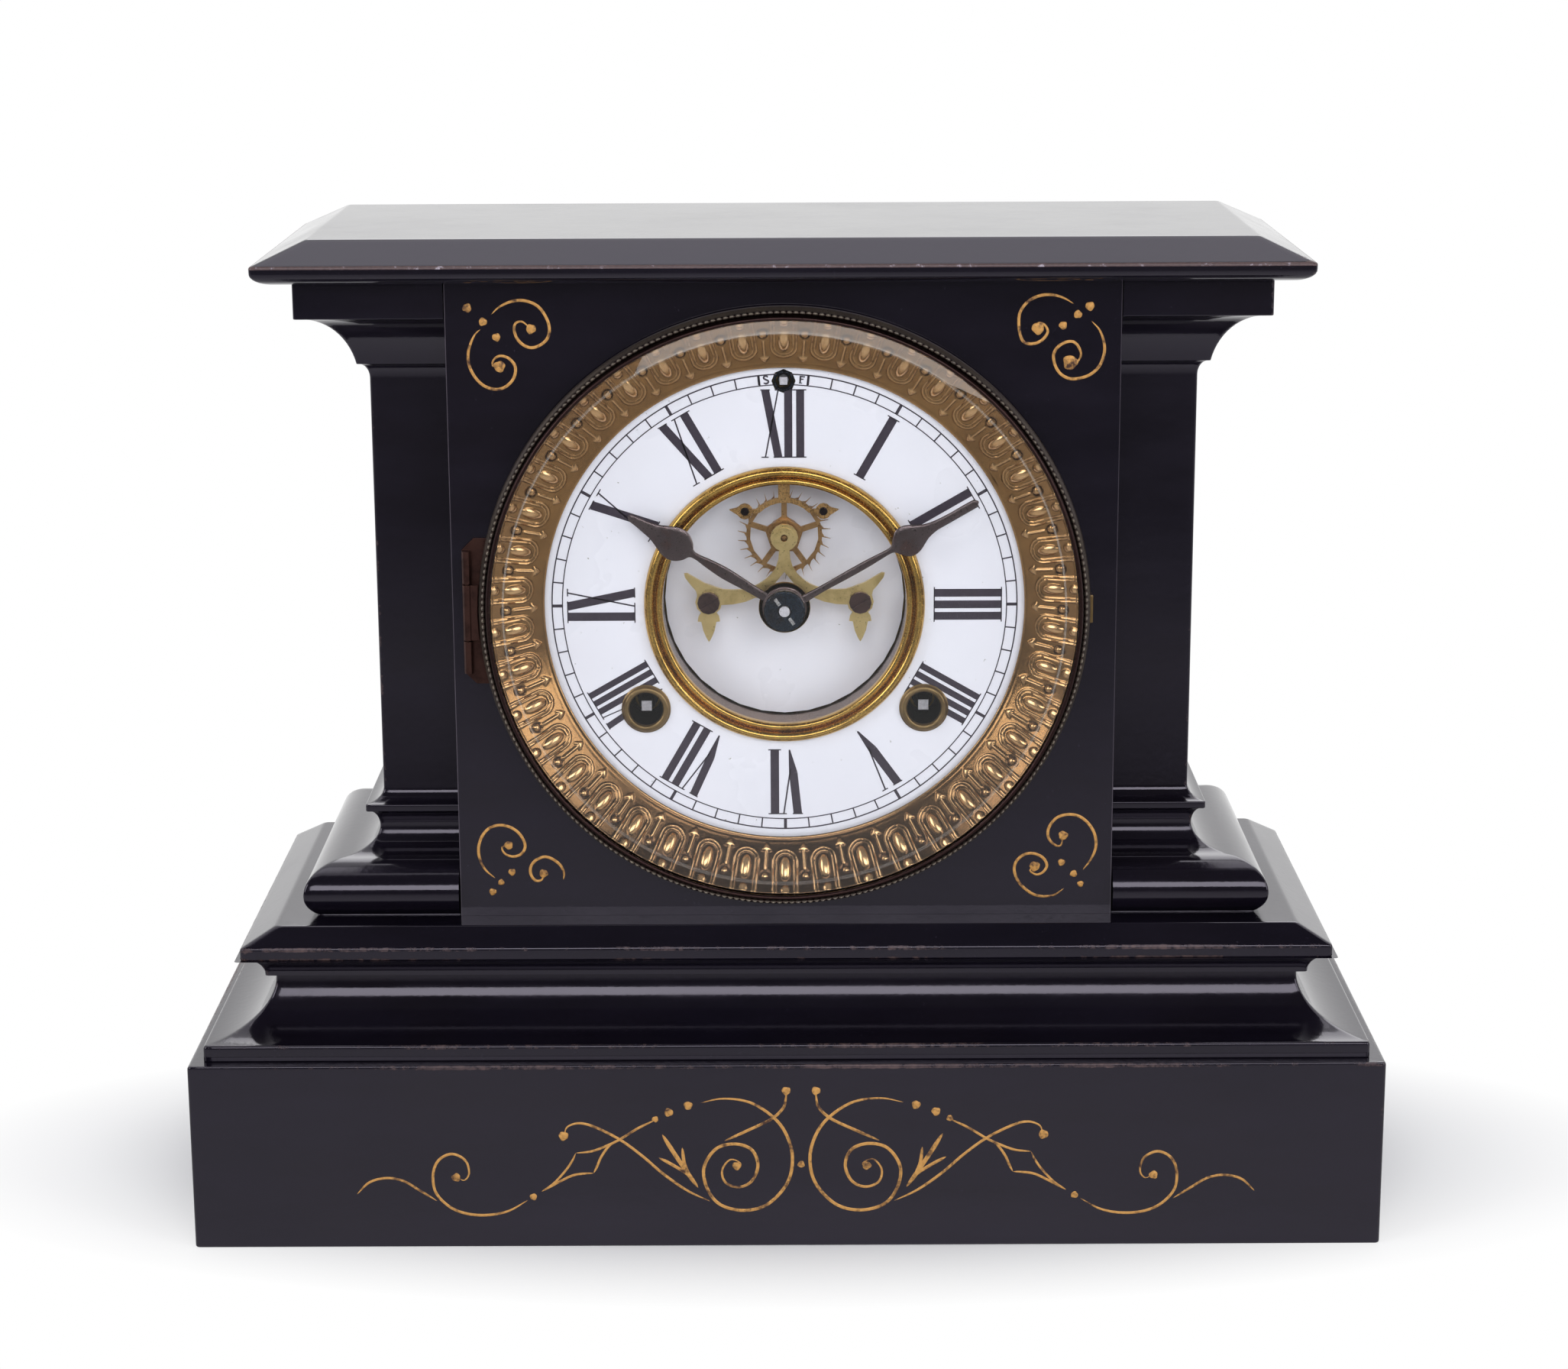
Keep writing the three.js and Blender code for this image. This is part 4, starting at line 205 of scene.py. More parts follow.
# Painted highlight: where edge wear passes about 1, as on the roof's fascia arris, a broken pale grey line is
# painted in for the arris's glint and its chips.
chip_and_glint_sum = add("Math", {0: chips, 1: edge.outputs["Fac"]}, operation="ADD")
bare_chip_and_glint = add("MapRange", {"Value": chip_and_glint_sum, "From Min": 1.9, "From Max": 1.98})
chipped_and_glinting_edge = add("Mix", {0: bare_chip_and_glint, 6: browned_edge, 7: "#a39ba6"})
# Wear and painted highlight: a faint pale line along the front panel's side arrises, broken by the handling noise.
parts = add("SeparateXYZ", {0: here})
aside = add("Math", {0: parts.outputs["X"]}, operation="ABSOLUTE")
at_side = add("Math", {0: aside, 1: panel_arris_x, 2: 0.00013}, operation="COMPARE")
at_front = add("Math", {0: parts.outputs["Y"], 1: panel_arris_y, 2: 0.0005}, operation="COMPARE")
panel_arris = add("Math", {0: at_side, 1: at_front}, operation="MULTIPLY")
arris_wear_and_highlight = add("Math", {0: panel_arris, 1: handled}, operation="MULTIPLY")
shown = add("Mix", {0: arris_wear_and_highlight, 6: chipped_and_glinting_edge, 7: "#544e56"})
gloss = add("MapRange", {"Value": haze, "From Min": 0.35, "From Max": 0.7, "To Min": 0.09, "To Max": 0.2})
sheen_off = add("Mix", {0: worn, 2: gloss, 3: 0.55})
wave = add("Bump", {"Height": flow, "Distance": 0.0003, "Strength": 0.1})
skin = add("Bump", {"Height": peel, "Distance": 0.00006, "Strength": 0.35, "Normal": wave})
pits = add("Bump", {"Height": worn, "Distance": 0.00008, "Strength": 0.5, "Normal": skin}, invert=True)
feed(shader, {"Base Color": shown, "Roughness": sheen_off, "Normal": pits, "Specular IOR Level": 0.5,
              "Specular Tint": "#eee4ff", "Coat Weight": 0.35, "Coat Roughness": 0.05})


# Base block: an open-bottomed iron box, its corners eased by the foundry pattern and its top arris rubbed
# bright brown. Its top is pierced in the middle for the pendulum.
def section(corners, steps=5, guard=1.2):
    """A section with eased corners. Each corner is (x, y, z, radius, wear). Within radius of it the line follows
    (1-t)^2 A + 2t(1-t) C + t^2 B; wear is kept on that arc and falls to 0 over the guard length beside it."""
    points, wear = [], []
    count = len(corners)
    for number, (*corner, radius, rubbed) in enumerate(corners):
        corner = np.array(corner, float)
        before = np.array(corners[number - 1][:3], float) - corner
        after = np.array(corners[(number + 1) % count][:3], float) - corner
        if radius == 0:
            points.append(corner[None])
            wear.append([rubbed])
            continue
        reach = [np.linalg.norm(before), np.linalg.norm(after)]
        ease = [min(radius, 0.45 * length) for length in reach]
        far = [min(radius + guard, 0.49 * length) for length in reach]
        start, end = corner + before * ease[0] / reach[0], corner + after * ease[1] / reach[1]
        t = np.linspace(0, 1, steps)[:, None]
        arc = (1 - t) ** 2 * start + 2 * t * (1 - t) * corner + t ** 2 * end
        points += [(corner + before * far[0] / reach[0])[None], arc, (corner + after * far[1] / reach[1])[None]]
        wear += [[0], [rubbed] * steps, [0]]
    return np.concatenate(points), np.concatenate(wear)


def carried(profile, wear, corner=0.9, quarters=(0, 1, 2, 3), end_x=None, side=1):
    """Carries a section of (half width, half depth, height) round a rectangle with corners of one radius:
    corner centre + radius * (cos, sin), with a guard station 1.5 mm along each side. With end_x the run is open
    and goes from (end_x, -depth) round the outer corners to (end_x, +depth); side -1 mirrors it."""
    wide, deep, high = profile.T[:, None]
    stations, rubbed = [], []
    slide = 1.5 * np.array([-1, 0, 0, 0, 0, 0, 1])[:, None]
    for quarter in quarters:
        angle = np.radians(90 * quarter + np.array([0, 0, 22.5, 45, 67.5, 90, 90]))[:, None]
        out_x, out_y = np.sign(np.cos(angle[3, 0])), np.sign(np.sin(angle[3, 0]))
        x = out_x * (wide - corner) + corner * np.cos(angle) - slide * np.sin(angle)
        y = out_y * (deep - corner) + corner * np.sin(angle) + slide * np.cos(angle)
        stations.append(np.stack([x, y, high + 0 * x], -1))
        rubbed.append(np.abs(slide) < 1)
    points, at_corner = np.concatenate(stations), np.concatenate(rubbed)
    if end_x is not None:
        ends = [np.stack([0 * wide + end_x, sign * deep, high], -1) for sign in (-1, 1)]
        points = np.concatenate([ends[0], points, ends[1]])
        at_corner = np.concatenate([[[False]], at_corner, [[False]]])
    points = points * (side, 1, 1)
    return points, np.maximum(0.72 * at_corner, wear[None])


def surface(name, grids, edge=None, loops=(True, True), sharp=38):
    """A closed skin through grids of points[i, j] in mm: i runs round the piece, j along its section, and each
    joins up with its start where loops says so. A grid that carries its own loops is a (points, loops) pair.
    Points that meet are merged, and the faces turned outward."""
    places, faces, start = [], [], 0
    for grid in grids:
        points, joined = grid if isinstance(grid, tuple) else (grid, loops)
        rows, columns = points.shape[:2]
        i, j = np.meshgrid(np.arange(rows - (not joined[0])), np.arange(columns - (not joined[1])), indexing="ij")
        faces.append(np.stack([start + ((i + a) % rows) * columns + (j + b) % columns
                               for a, b in ((0, 0), (1, 0), (1, 1), (0, 1))], -1).reshape(-1, 4))
        places.append(points.reshape(-1, 3) / 1000)
        start += rows * columns
    mesh = bpy.data.meshes.new(name)
    mesh.from_pydata(np.concatenate(places).tolist(), [], np.concatenate(faces).tolist())
    if edge is not None:
        mesh.attributes.new("edge", "FLOAT", "POINT").data.foreach_set("value", np.ravel(edge).astype("f"))
    form = bmesh.new()
    form.from_mesh(mesh)
    bmesh.ops.remove_doubles(form, verts=form.verts, dist=1e-6)
    bmesh.ops.dissolve_degenerate(form, edges=form.edges, dist=1e-7)
    bmesh.ops.recalc_face_normals(form, faces=form.faces)
    form.to_mesh(mesh)
    form.free()
    mesh.shade_smooth()
    mesh.set_sharp_from_angle(angle=math.radians(sharp))
    piece = bpy.data.objects.new(name, mesh)
    scene.collection.objects.link(piece)
    return piece


def settle(piece, material, body, slot, *replaced):
    """Gives a new piece its material and its body, and hides the CAD nodes that it stands for. Its slot is not used.
    """
    piece.data.materials.append(material)
    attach(piece, body)
    if replaced:
        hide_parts(*replaced)
    return piece


def casting(name, rows, replaced):
    """An enamelled casting of the case: a section of rows with eased corners, carried round a rectangle."""
    points, edge = carried(*section(rows))
    settle(surface(name, [points], edge), enamel, "case", "black_enamel", replaced)


base_half = np.array((150, 63.8))
base_opening = (60, 30.5)
base_height = 48.5
base_wall = 5
casting("base_casting", [
    (*base_half, 0, 0.7, 0.35),
    (*base_half, base_height, 0.9, 0.86),
    (*base_opening, base_height, 0.6, 0),
    (*base_opening, base_height - base_wall, 0.6, 0),
    (*(base_half - base_wall), base_height - base_wall, 0, 0),
    (*(base_half - base_wall), 0, 0.7, 0),
], "base_block")


# Plinth moulding: one casting with a square lip, a deep hollow, a small fillet and a bed mould, where the
# flowed enamel takes long soft highlights.
def hollow(spread, height, steps=16):
    """A quarter hollow: spread * (1 - cos a), height * sin a, upright at its start and level at its end."""
    angle = np.linspace(0, math.pi / 2, steps)
    return np.stack([spread * (1 - np.cos(angle)), height * np.sin(angle)], 1)


lip_half = base_half - 3.6
lip_top = base_height + 4.1
scotia_spread, scotia_height = 16.5, 13
neck_half = lip_half - scotia_spread
bed_bottom = lip_top + scotia_height + 0.9
slab_bottom = 72.2
moulding_rows = [(*lip_half, base_height, 0.3, 0.2), (*lip_half, lip_top, 0.9, 0.8)]
moulding_rows += [(*(neck_half + out), lip_top + scotia_height - rise, 0, 0)
                  for out, rise in hollow(scotia_spread, scotia_height)[-2::-1]]
moulding_rows += [(*(neck_half + 2.4 + out), bed_bottom + rise, 0, 0) for out, rise in hollow(6.6, 5.7, 10)]
moulding_rows += [(*(neck_half - 5), slab_bottom, 0, 0), (*(neck_half - 5), base_height, 0, 0)]
casting("plinth_hollow_moulding", moulding_rows, "plinth_moulding")


# Plinth slab: a cast shelf with a narrow fascia, worn brown along its whole front, and a bevel up to the body.
# It is pierced like the base below it, for the pendulum.
slab_half = (137.6, 51.6)
slab_top = 80
slab_opening = (60, 25.7)
casting("plinth_shelf", [
    (*slab_half, slab_bottom, 0.5, 0.86),
    (*slab_half, slab_bottom + 3, 0.6, 0.9),
    (slab_half[0] - 8.6, slab_half[1] - 4.4, slab_top, 0.7, 0.62),
    (*slab_opening, slab_top, 0.5, 0),
    (*slab_opening, slab_bottom, 0.5, 0),
], "plinth_slab")


# Corner pilasters: hollow castings with a torus foot, a hollow, a ring, a plain shaft and a moulded cap. Each
# runs from the front panel round the corner to the back panel, and its two ends are closed flat. The rows of its
# outline say how far out from the shaft, how high above the slab, the radius and the wear.
shaft_half = np.array((103.5, 22.5))
body_height = 161.7
pilaster_end = 83.0
torus_angle = np.radians(np.linspace(-48, 90, 22))
outline = [(16, 0, 0.4, 0.3)]
outline += [(9.5 + 9.6 * math.cos(a), 5.9 + 7.6 * math.sin(a), 0, 0) for a in torus_angle]
outline += [(1.1 + out, 19.5 - rise, 0, 0) for out, rise in hollow(8.4, 6, 10)[-2::-1]]
outline += [(1.1 + out, 19.5 + rise, 0, 0) for out, rise in hollow(3.2, 4.6, 8)[1:-1]]
outline += [(4.3, 24.1, 0.35, 0.5), (4.3, 25.9, 0.35, 0.5)]
outline += [(out, 29.3 - rise, 0, 0) for out, rise in hollow(4.3, 3.4, 8)[-2::-1]]
outline += [(0, 60, 0, 0), (0, 100, 0, 0), (0, 135.6, 0, 0)]
outline += [(out, 135.6 + rise, 0, 0) for out, rise in hollow(2.9, 3.9, 8)[1:]]
cavetto_angle = np.radians(np.linspace(15, 90, 16))
cavetto_share = [(1 - math.cos(a) / math.cos(cavetto_angle[0]),
                  (math.sin(a) - math.sin(cavetto_angle[0])) / (1 - math.sin(cavetto_angle[0])))
                 for a in cavetto_angle]
outline += [(2.9 + 13.4 * out, 139.5 + 12.9 * rise, 0, 0) for out, rise in cavetto_share[1:-1]]
outline += [(16.3, 152.4, 0.3, 0.5), (16.3, body_height, 0.4, 0.3)]
hollow_half = (99.5, 18.5)
outer_rows, outer_wear = section(
    [(*(shaft_half + out), slab_top + rise, radius, rubbed) for out, rise, radius, rubbed in outline]
    + [(*hollow_half, slab_top + body_height, 0, 0), (*hollow_half, slab_top, 0, 0)])
outer_rows, outer_wear = outer_rows[:-2], outer_wear[:-2]
inner_rows = (outer_rows * (0, 0, 1) + (*hollow_half, 0))[::-1]
pilaster_rows = np.concatenate([outer_rows, inner_rows])
pilaster_wear = np.concatenate([outer_wear, 0 * outer_wear])
for pilaster_side, pilaster_name in ((-1, "left"), (1, "right")):
    run, run_edge = carried(pilaster_rows, pilaster_wear, 0.7, (3, 0), pilaster_end, pilaster_side)
    caps = [(np.stack([run[end, :len(outer_rows)], run[end, len(outer_rows):][::-1]]), (False, False))
            for end in (0, -1)]
    settle(surface(f"{pilaster_name}_corner_pilaster", [(run, (False, True)), *caps],
                   np.concatenate([run_edge.ravel(), np.zeros(4 * len(outer_rows))])),
           enamel, "case", "black_enamel", f"{pilaster_name}_pilaster")


# Front and back panels: flat castings, rubbed smooth and enamelled. The CAD solids stay, with their arrises
# eased by about a third of a millimetre.
def ease(name, width, material, segments=2, angle=40):
    """Gives a CAD node its material, and eases its arrises with a live weld and bevel of this width in mm."""
    piece = nodes[name]
    for slot in piece.material_slots:
        slot.material = material
    if width:
        weld = piece.modifiers.new("weld", "WELD")
        weld.merge_threshold = 2e-6
        bevel = piece.modifiers.new("eased_arrises", "BEVEL")
        bevel.width = width / 1000
        bevel.segments = segments
        bevel.limit_method = "ANGLE"
        bevel.angle_limit = math.radians(angle)
        bevel.use_clamp_overlap = True
    return piece


for panel in ("front_panel", "back_panel"):
    ease(panel, 0.35, enamel)


# Roof: a cast slab with a quarter-round underside, a thin fascia whose arris carries a broken pale line of
# painted highlight among a few chips, a wide bevel and a shallow recess below.
roof_half = np.array((128.5, 49.8))
body_top = slab_top + body_height
roof_rows = [(*(roof_half - 16), body_top + 5.6, 0, 0), (*(roof_half - 16), body_top, 0.5, 0)]
roof_rows += [(*(roof_half - 6 + 6 * math.cos(a)), body_top + 3.2 * (1 + math.sin(a)), 0, 0)
              for a in np.radians(np.linspace(-90, -8, 9))]
# The fascia arris's wear of 1.32 is high enough for the enamel's painted pale highlight line.
roof_rows += [(*roof_half, body_top + 3.4, 0.3, 0.5), (*roof_half, body_top + 4.7, 0.5, 1.32),
              (*(roof_half - (13, 7.8)), body_top + 10.6, 0.8, 0.6),
              (*(roof_half - (18, 12.8)), body_top + 10.6, 0, 0)]
roof_points, roof_edge = carried(*section(roof_rows))
roof_lid = [(np.stack([roof_points[:, k], roof_points[:, k] * (0, 0, 1)], 1), (True, False)) for k in (-1, 0)]
settle(surface("roof_slab_casting", [(roof_points, (True, False)), *roof_lid],
               np.concatenate([roof_edge.ravel(), np.zeros(4 * len(roof_points))])),
       enamel, "case", "black_enamel", "roof_slab")


# Gilt scrolls: lines cut into the enamel by hand and filled with bronze-powder gold size, worn to brown in
# places. Each is a thin tapered ribbon with a crowned top, just proud of the casting, through points (right, up)
# in mm: on the base with its width before them, on the panel counted from the dial's centre.
gilt_line, add, shader, here = start_material("bronze_powder_gilding")
fine = add("TexNoise", {"Vector": here, "Scale": per(0.7), "Detail": 4.0})
broad = add("TexNoise", {"Vector": here, "Scale": per(3.6), "Detail": 5.0, "Roughness": 0.75})
faded = add("MapRange", {"Value": broad, "From Min": 0.5, "From Max": 0.64})
gold = add("Mix", {0: fine, 6: "#a87236", 7: "#e8b468"})
tone = add("Mix", {0: faded, 6: gold, 7: "#4a3028"})
grain = add("Bump", {"Height": fine, "Distance": 0.00005, "Strength": 0.6})
rough = add("MapRange", {"Value": fine, "To Min": 0.38, "To Max": 0.62})
feed(shader, {"Base Color": tone, "Metallic": 0.35, "Roughness": rough, "Normal": grain})


def flowing(points, closeness=0.5):
    """A smooth line through points: the Catmull-Rom curve 0.5 * (2b + (c-a)t + (2a-5b+4c-d)t^2 + (3b-a-3c+d)t^3),
    with its end points doubled, sampled about every closeness mm."""
    points = np.array(points, float)
    padded = np.concatenate([2 * points[:1] - points[1:2], points, 2 * points[-1:] - points[-2:-1]])
    a, b, c, d = (padded[k:len(padded) - 3 + k] for k in range(4))
    steps = np.maximum(2, np.linalg.norm(c - b, axis=1) / closeness).astype(int)
    which = np.repeat(np.arange(len(b)), steps)
    t = ((np.arange(steps.sum()) - np.repeat(np.cumsum(steps) - steps, steps)) / steps[which])[:, None]
    a, b, c, d = a[which], b[which], c[which], d[which]
    line = 0.5 * (2 * b + (c - a) * t + (2 * a - 5 * b + 4 * c - d) * t ** 2 + (3 * b - a - 3 * c + d) * t ** 3)
    return np.concatenate([line, points[-1:]])


def closed_run(rows):
    """A run of closed sections, with both of its ends closed on their middles."""
    caps = [0 * rows[:1] + rows[end:end + 1 or None].mean(1, keepdims=True) for end in (0, -1)]
    return np.concatenate([caps[0], rows, caps[1]]), (False, True)


def ribbon(points, width, plane, rise=0.12, sink=0.05, start=0.25, end=0.25):
    """A ribbon on the plane y = plane along a flowing line: half width w(s) rises from a tapered start and falls
    to a tapered end as sqrt(sin), and its section is the ellipse (w cos a, rise sin a) over a flat sunk back."""
    line = flowing(points)
    run = np.gradient(line, axis=0)
    run /= np.linalg.norm(run, axis=1)[:, None] + 1e-9
    across = np.stack([-run[:, 1], run[:, 0]], 1)
    share = np.linspace(0, 1, len(line))
    taper = np.clip(np.minimum(share / max(start, 1e-6), (1 - share) / max(end, 1e-6)), 0, 1)
    half = width / 2 * np.sqrt(np.sin(taper * math.pi / 2) + 1e-4)
    angle = np.radians([0, 30, 60, 90, 120, 150, 180, 270])
    spread, lift = np.cos(angle), np.where(angle < 3.2, rise * np.sin(angle), -sink)
    x = line[:, :1] + across[:, :1] * half[:, None] * spread
    z = line[:, 1:] + across[:, 1:] * half[:, None] * spread
    y = plane - lift * np.minimum(1, half[:, None] * 4)
    return closed_run(np.stack([x, y + 0 * x, z], -1))


def full_turn(steps):
    """Angles round one full turn, as a column."""
    return np.linspace(0, 2 * math.pi, steps, endpoint=False)[:, None]


def drop(x, z, radius, plane, rise=0.25, sink=0.05):
    """A drop of gold size: circles of radius r * sin b raised by rise * cos b, closed by a flat sunk back."""
    around = full_turn(20)
    lean = np.radians([0, 25, 50, 75, 90, 90, 90])
    reach = radius * np.append(np.sin(lean[:-1]), 0)
    lift = np.append(rise * np.cos(lean[:5]), [-sink, -sink])
    wobble = 1 + 0.08 * np.sin(3 * around + x) + 0.05 * np.sin(5 * around + z)
    return np.stack([x + reach * np.cos(around) * wobble, plane - lift + 0 * around,
                     z + reach * np.sin(around) * wobble], -1), (True, False)


base_scroll_middle = 3.6
base_front = -base_half[1]
base_strokes = [
    (1.0, [(-108.5, 14.4), (-105.2, 17.6), (-100.9, 18.7), (-96.7, 17.9), (-92.6, 15.3), (-88.4, 12.5)]),
    (1.1, [(-83.0, 18.8), (-81.4, 18.0), (-80.1, 19.8), (-80.9, 23.3), (-84.2, 25.1), (-87.5, 23.6),
           (-89.1, 20.1), (-88.7, 15.0), (-85.5, 11.1), (-81.3, 9.1), (-75.9, 8.6), (-70.4, 9.7), (-65.4, 12.6)]),
    (0.9, [(-61.9, 14.9), (-58.8, 17.1), (-55.7, 20.6), (-54.0, 23.2), (-53.1, 25.2)]),
    (1.0, [(-61.9, 14.9), (-57.6, 17.4), (-54.0, 19.2), (-51.0, 19.7), (-48.7, 19.8)]),
    (1.0, [(-48.7, 19.8), (-47.8, 21.6), (-46.7, 24.2), (-44.5, 27.3), (-42.0, 28.8)]),
    (1.0, [(-53.1, 25.2), (-49.0, 25.7), (-45.4, 27.1), (-42.0, 28.8), (-37.5, 31.7), (-33.0, 34.0)]),
    (1.1, [(-55.9, 29.6), (-55.2, 32.1), (-52.2, 33.2), (-48.3, 32.2), (-42.0, 28.8), (-36.4, 24.4),
           (-31.1, 19.5), (-25.1, 15.0), (-19.4, 12.1)]),
    (1.7, [(-31.3, 30.1), (-28.3, 25.0), (-25.0, 19.7), (-22.4, 15.8)]),
    (1.3, [(-32.2, 23.9), (-28.7, 21.9), (-24.8, 19.2), (-23.0, 16.6)]),
    (1.3, [(-26.3, 26.6), (-25.8, 22.4), (-24.4, 18.8), (-22.8, 16.2)]),
    (1.3, [(-12.1, 20.8), (-11.6, 22.3), (-14.2, 23.3), (-16.3, 20.5), (-15.5, 17.2), (-12.2, 15.9),
           (-8.9, 17.5), (-7.3, 21.7), (-8.8, 25.9), (-13.0, 27.5), (-17.8, 26.2), (-20.9, 21.1), (-20.0, 15.3),
           (-16.7, 11.1), (-10.7, 9.6), (-4.7, 11.4), (0.2, 17.2), (1.4, 24.2), (-0.4, 30.6), (-3.9, 35.1),
           (-9.3, 38.6), (-15.9, 39.6), (-21.6, 38.5)]),
    (1.2, [(-15.7, 28.3), (-10.0, 31.0), (-3.9, 34.1), (-0.9, 37.0), (-0.2, 39.5), (-0.1, 41.3)]),
]
base_drops = [(-83.4, 18.8, 1.1), (-64.0, 13.5, 0.9), (-56.1, 29.8, 1.2), (-33.0, 34.2, 0.8), (-29.6, 36.0, 1.1),
              (-24.7, 37.8, 1.1), (-12.6, 21.6, 1.1), (-0.1, 41.6, 1.1)]
base_gilding = [drop(base_scroll_middle, 22.0, 0.9, base_front)]
for mirror in (-1, 1):
    def over(x):
        """The right half is the left half turned over about the middle line, 2% wider as the painter left it."""
        return x if mirror < 0 else base_scroll_middle + 1.02 * (base_scroll_middle - x)
    base_gilding += [ribbon([(over(x), z) for x, z in line], 0.64 * width, base_front)
                     for width, line in base_strokes]
    base_gilding += [drop(over(x), z, radius, base_front) for x, z, radius in base_drops]
settle(surface("base_gilt_scrolls", base_gilding), gilt_line, "case", "gilt")

panel_front = -39.3
dial_height = 159.7
corner_strokes = [
    [(-71.2, 73.9), (-69.2, 75.7), (-66.4, 77.0), (-63.6, 77.3), (-60.8, 76.5), (-58.9, 74.9), (-57.4, 72.1),
     (-57.1, 69.7), (-57.8, 67.7), (-59.5, 66.3), (-61.5, 65.7), (-63.4, 66.3), (-65.0, 67.9), (-65.7, 70.1),
     (-65.3, 71.7), (-63.7, 72.1), (-61.6, 70.3)],
    [(-73.9, 70.3), (-75.3, 69.0), (-76.5, 66.6), (-77.1, 64.2), (-76.9, 61.4), (-75.6, 58.6), (-73.6, 56.5),
     (-70.9, 55.5), (-68.5, 55.9), (-66.4, 57.7), (-65.6, 59.9), (-65.9, 61.7), (-67.5, 63.3), (-69.5, 63.7),
     (-70.9, 62.7), (-71.2, 61.3), (-69.5, 61.1)],
    [(70.8, 75.9), (68.4, 77.3), (65.6, 78.1), (62.5, 77.9), (59.7, 76.5), (57.8, 73.9), (57.5, 70.8),
     (58.0, 68.0), (59.0, 66.4), (61.4, 66.2), (63.4, 67.2), (64.6, 69.1), (63.7, 70.9), (62.2, 71.3),
     (62.2, 69.9)],
    [(75.2, 71.7), (77.2, 69.5), (78.3, 66.7), (78.5, 63.9), (77.4, 60.7), (75.1, 58.5), (71.9, 57.5),
     (69.5, 57.7), (67.5, 59.1), (66.3, 61.5), (66.2, 63.9), (67.8, 65.9), (70.2, 66.7), (71.8, 65.9),
     (72.8, 63.5), (71.8, 61.5), (70.2, 61.5)],
    [(-73.8, -69.7), (-76.2, -67.5), (-77.6, -64.5), (-77.8, -61.5), (-76.8, -58.5), (-74.7, -56.3),
     (-71.8, -55.7), (-69.0, -56.6), (-67.0, -58.5), (-66.0, -61.1), (-66.9, -63.2), (-69.1, -64.0),
     (-71.2, -63.2), (-71.9, -61.5), (-70.2, -61.0)],
    [(-56.5, -70.2), (-56.3, -68.4), (-57.2, -66.3), (-59.3, -64.6), (-61.3, -64.1), (-63.4, -65.0),
     (-64.7, -66.7), (-64.7, -68.8), (-63.5, -70.4), (-61.9, -70.1), (-61.5, -68.5)],
    [(75.4, -68.1), (77.2, -65.7), (78.6, -62.3), (78.3, -58.8), (76.6, -55.8), (74.1, -53.9), (71.2, -53.5),
     (68.4, -54.5), (66.6, -57.1), (66.6, -59.6), (68.1, -61.4), (69.7, -61.6), (70.3, -59.2)],
    [(70.7, -73.0), (68.3, -74.7), (65.4, -75.1), (62.5, -74.3), (59.5, -71.7), (58.1, -68.6), (58.4, -66.0),
     (60.3, -64.1), (62.7, -63.7), (65.2, -64.8), (66.3, -66.9), (65.3, -68.7), (63.6, -69.3), (62.0, -68.2),
     (63.2, -67.1)],
]
corner_drops = [(-77.1, 75.5, 1.1), (-73.3, 72.1, 1.0), (-70.1, 68.3, 1.0), (74.8, 75.3, 1.1), (71.9, 73.3, 1.0),
                (68.3, 70.6, 1.0), (-69.5, -68.1, 0.9), (-72.3, -70.8, 0.8), (-74.5, -73.3, 0.9),
                (70.0, -66.1, 0.9), (73.1, -69.1, 0.9), (74.9, -71.8, 0.8), (-61.6, 70.3, 1.2),
                (-69.5, 61.1, 1.4), (62.2, 69.9, 1.5), (70.2, 61.5, 1.8), (-70.2, -61.0, 1.1),
                (-61.5, -68.5, 1.1), (70.3, -59.0, 1.2), (63.2, -67.1, 1.3)]
corner_gilding = [ribbon([(x, dial_height + up) for x, up in line], 0.74, panel_front) for line in corner_strokes]
corner_gilding += [drop(x, dial_height + up, radius, panel_front) for x, up, radius in corner_drops]
settle(surface("panel_corner_scrolls", corner_gilding), gilt_line, "case", "gilt")


# Dial: two pieces of white enamel on copper, a chapter ring and a sunk centre, fired to a soft gloss with a
# cool tint and a few faint grey specks. The CAD plates stay as they are.
porcelain, add, shader, here = start_material("fired_white_dial_enamel")
cloud = add("TexNoise", {"Vector": here, "Scale": per(26), "Detail": 4.0})
pinholes = add("TexNoise", {"Vector": here, "Scale": per(0.9), "Detail": 3.0})
spotted = add("MapRange", {"Value": pinholes, "From Min": 0.735, "From Max": 0.76})
milk = add("Mix", {0: cloud, 6: "#f1eef9", 7: "#e8e5f1"})
dial_tone = add("Mix", {0: spotted, 6: milk, 7: "#9a9690"})
dial_gloss = add("MapRange", {"Value": cloud, "To Min": 0.2, "To Max": 0.36})
dial_wave = add("Bump", {"Height": cloud, "Distance": 0.0004, "Strength": 0.15})
feed(shader, {"Base Color": dial_tone, "Roughness": dial_gloss, "Normal": dial_wave})
for plate in ("chapter_dial", "centre_dial"):
    ease(plate, 0, porcelain)


# Printing on the dial: black ceramic ink, fired on. Roman numerals stand with their feet to the centre, a
# minute track runs round them, and S and F stand boxed beside the regulating hole.
ink, add, shader, here = start_material("fired_black_dial_ink")
soak = add("TexNoise", {"Vector": here, "Scale": per(0.8), "Detail": 4.0})
ink_tone = add("Mix", {0: soak, 6: "#241a2a", 7: "#3c3142"})
ink_gloss = add("MapRange", {"Value": soak, "To Min": 0.3, "To Max": 0.6})
ink_grain = add("Bump", {"Height": soak, "Distance": 0.00002, "Strength": 0.5})
feed(shader, {"Base Color": ink_tone, "Roughness": ink_gloss, "Normal": ink_grain})

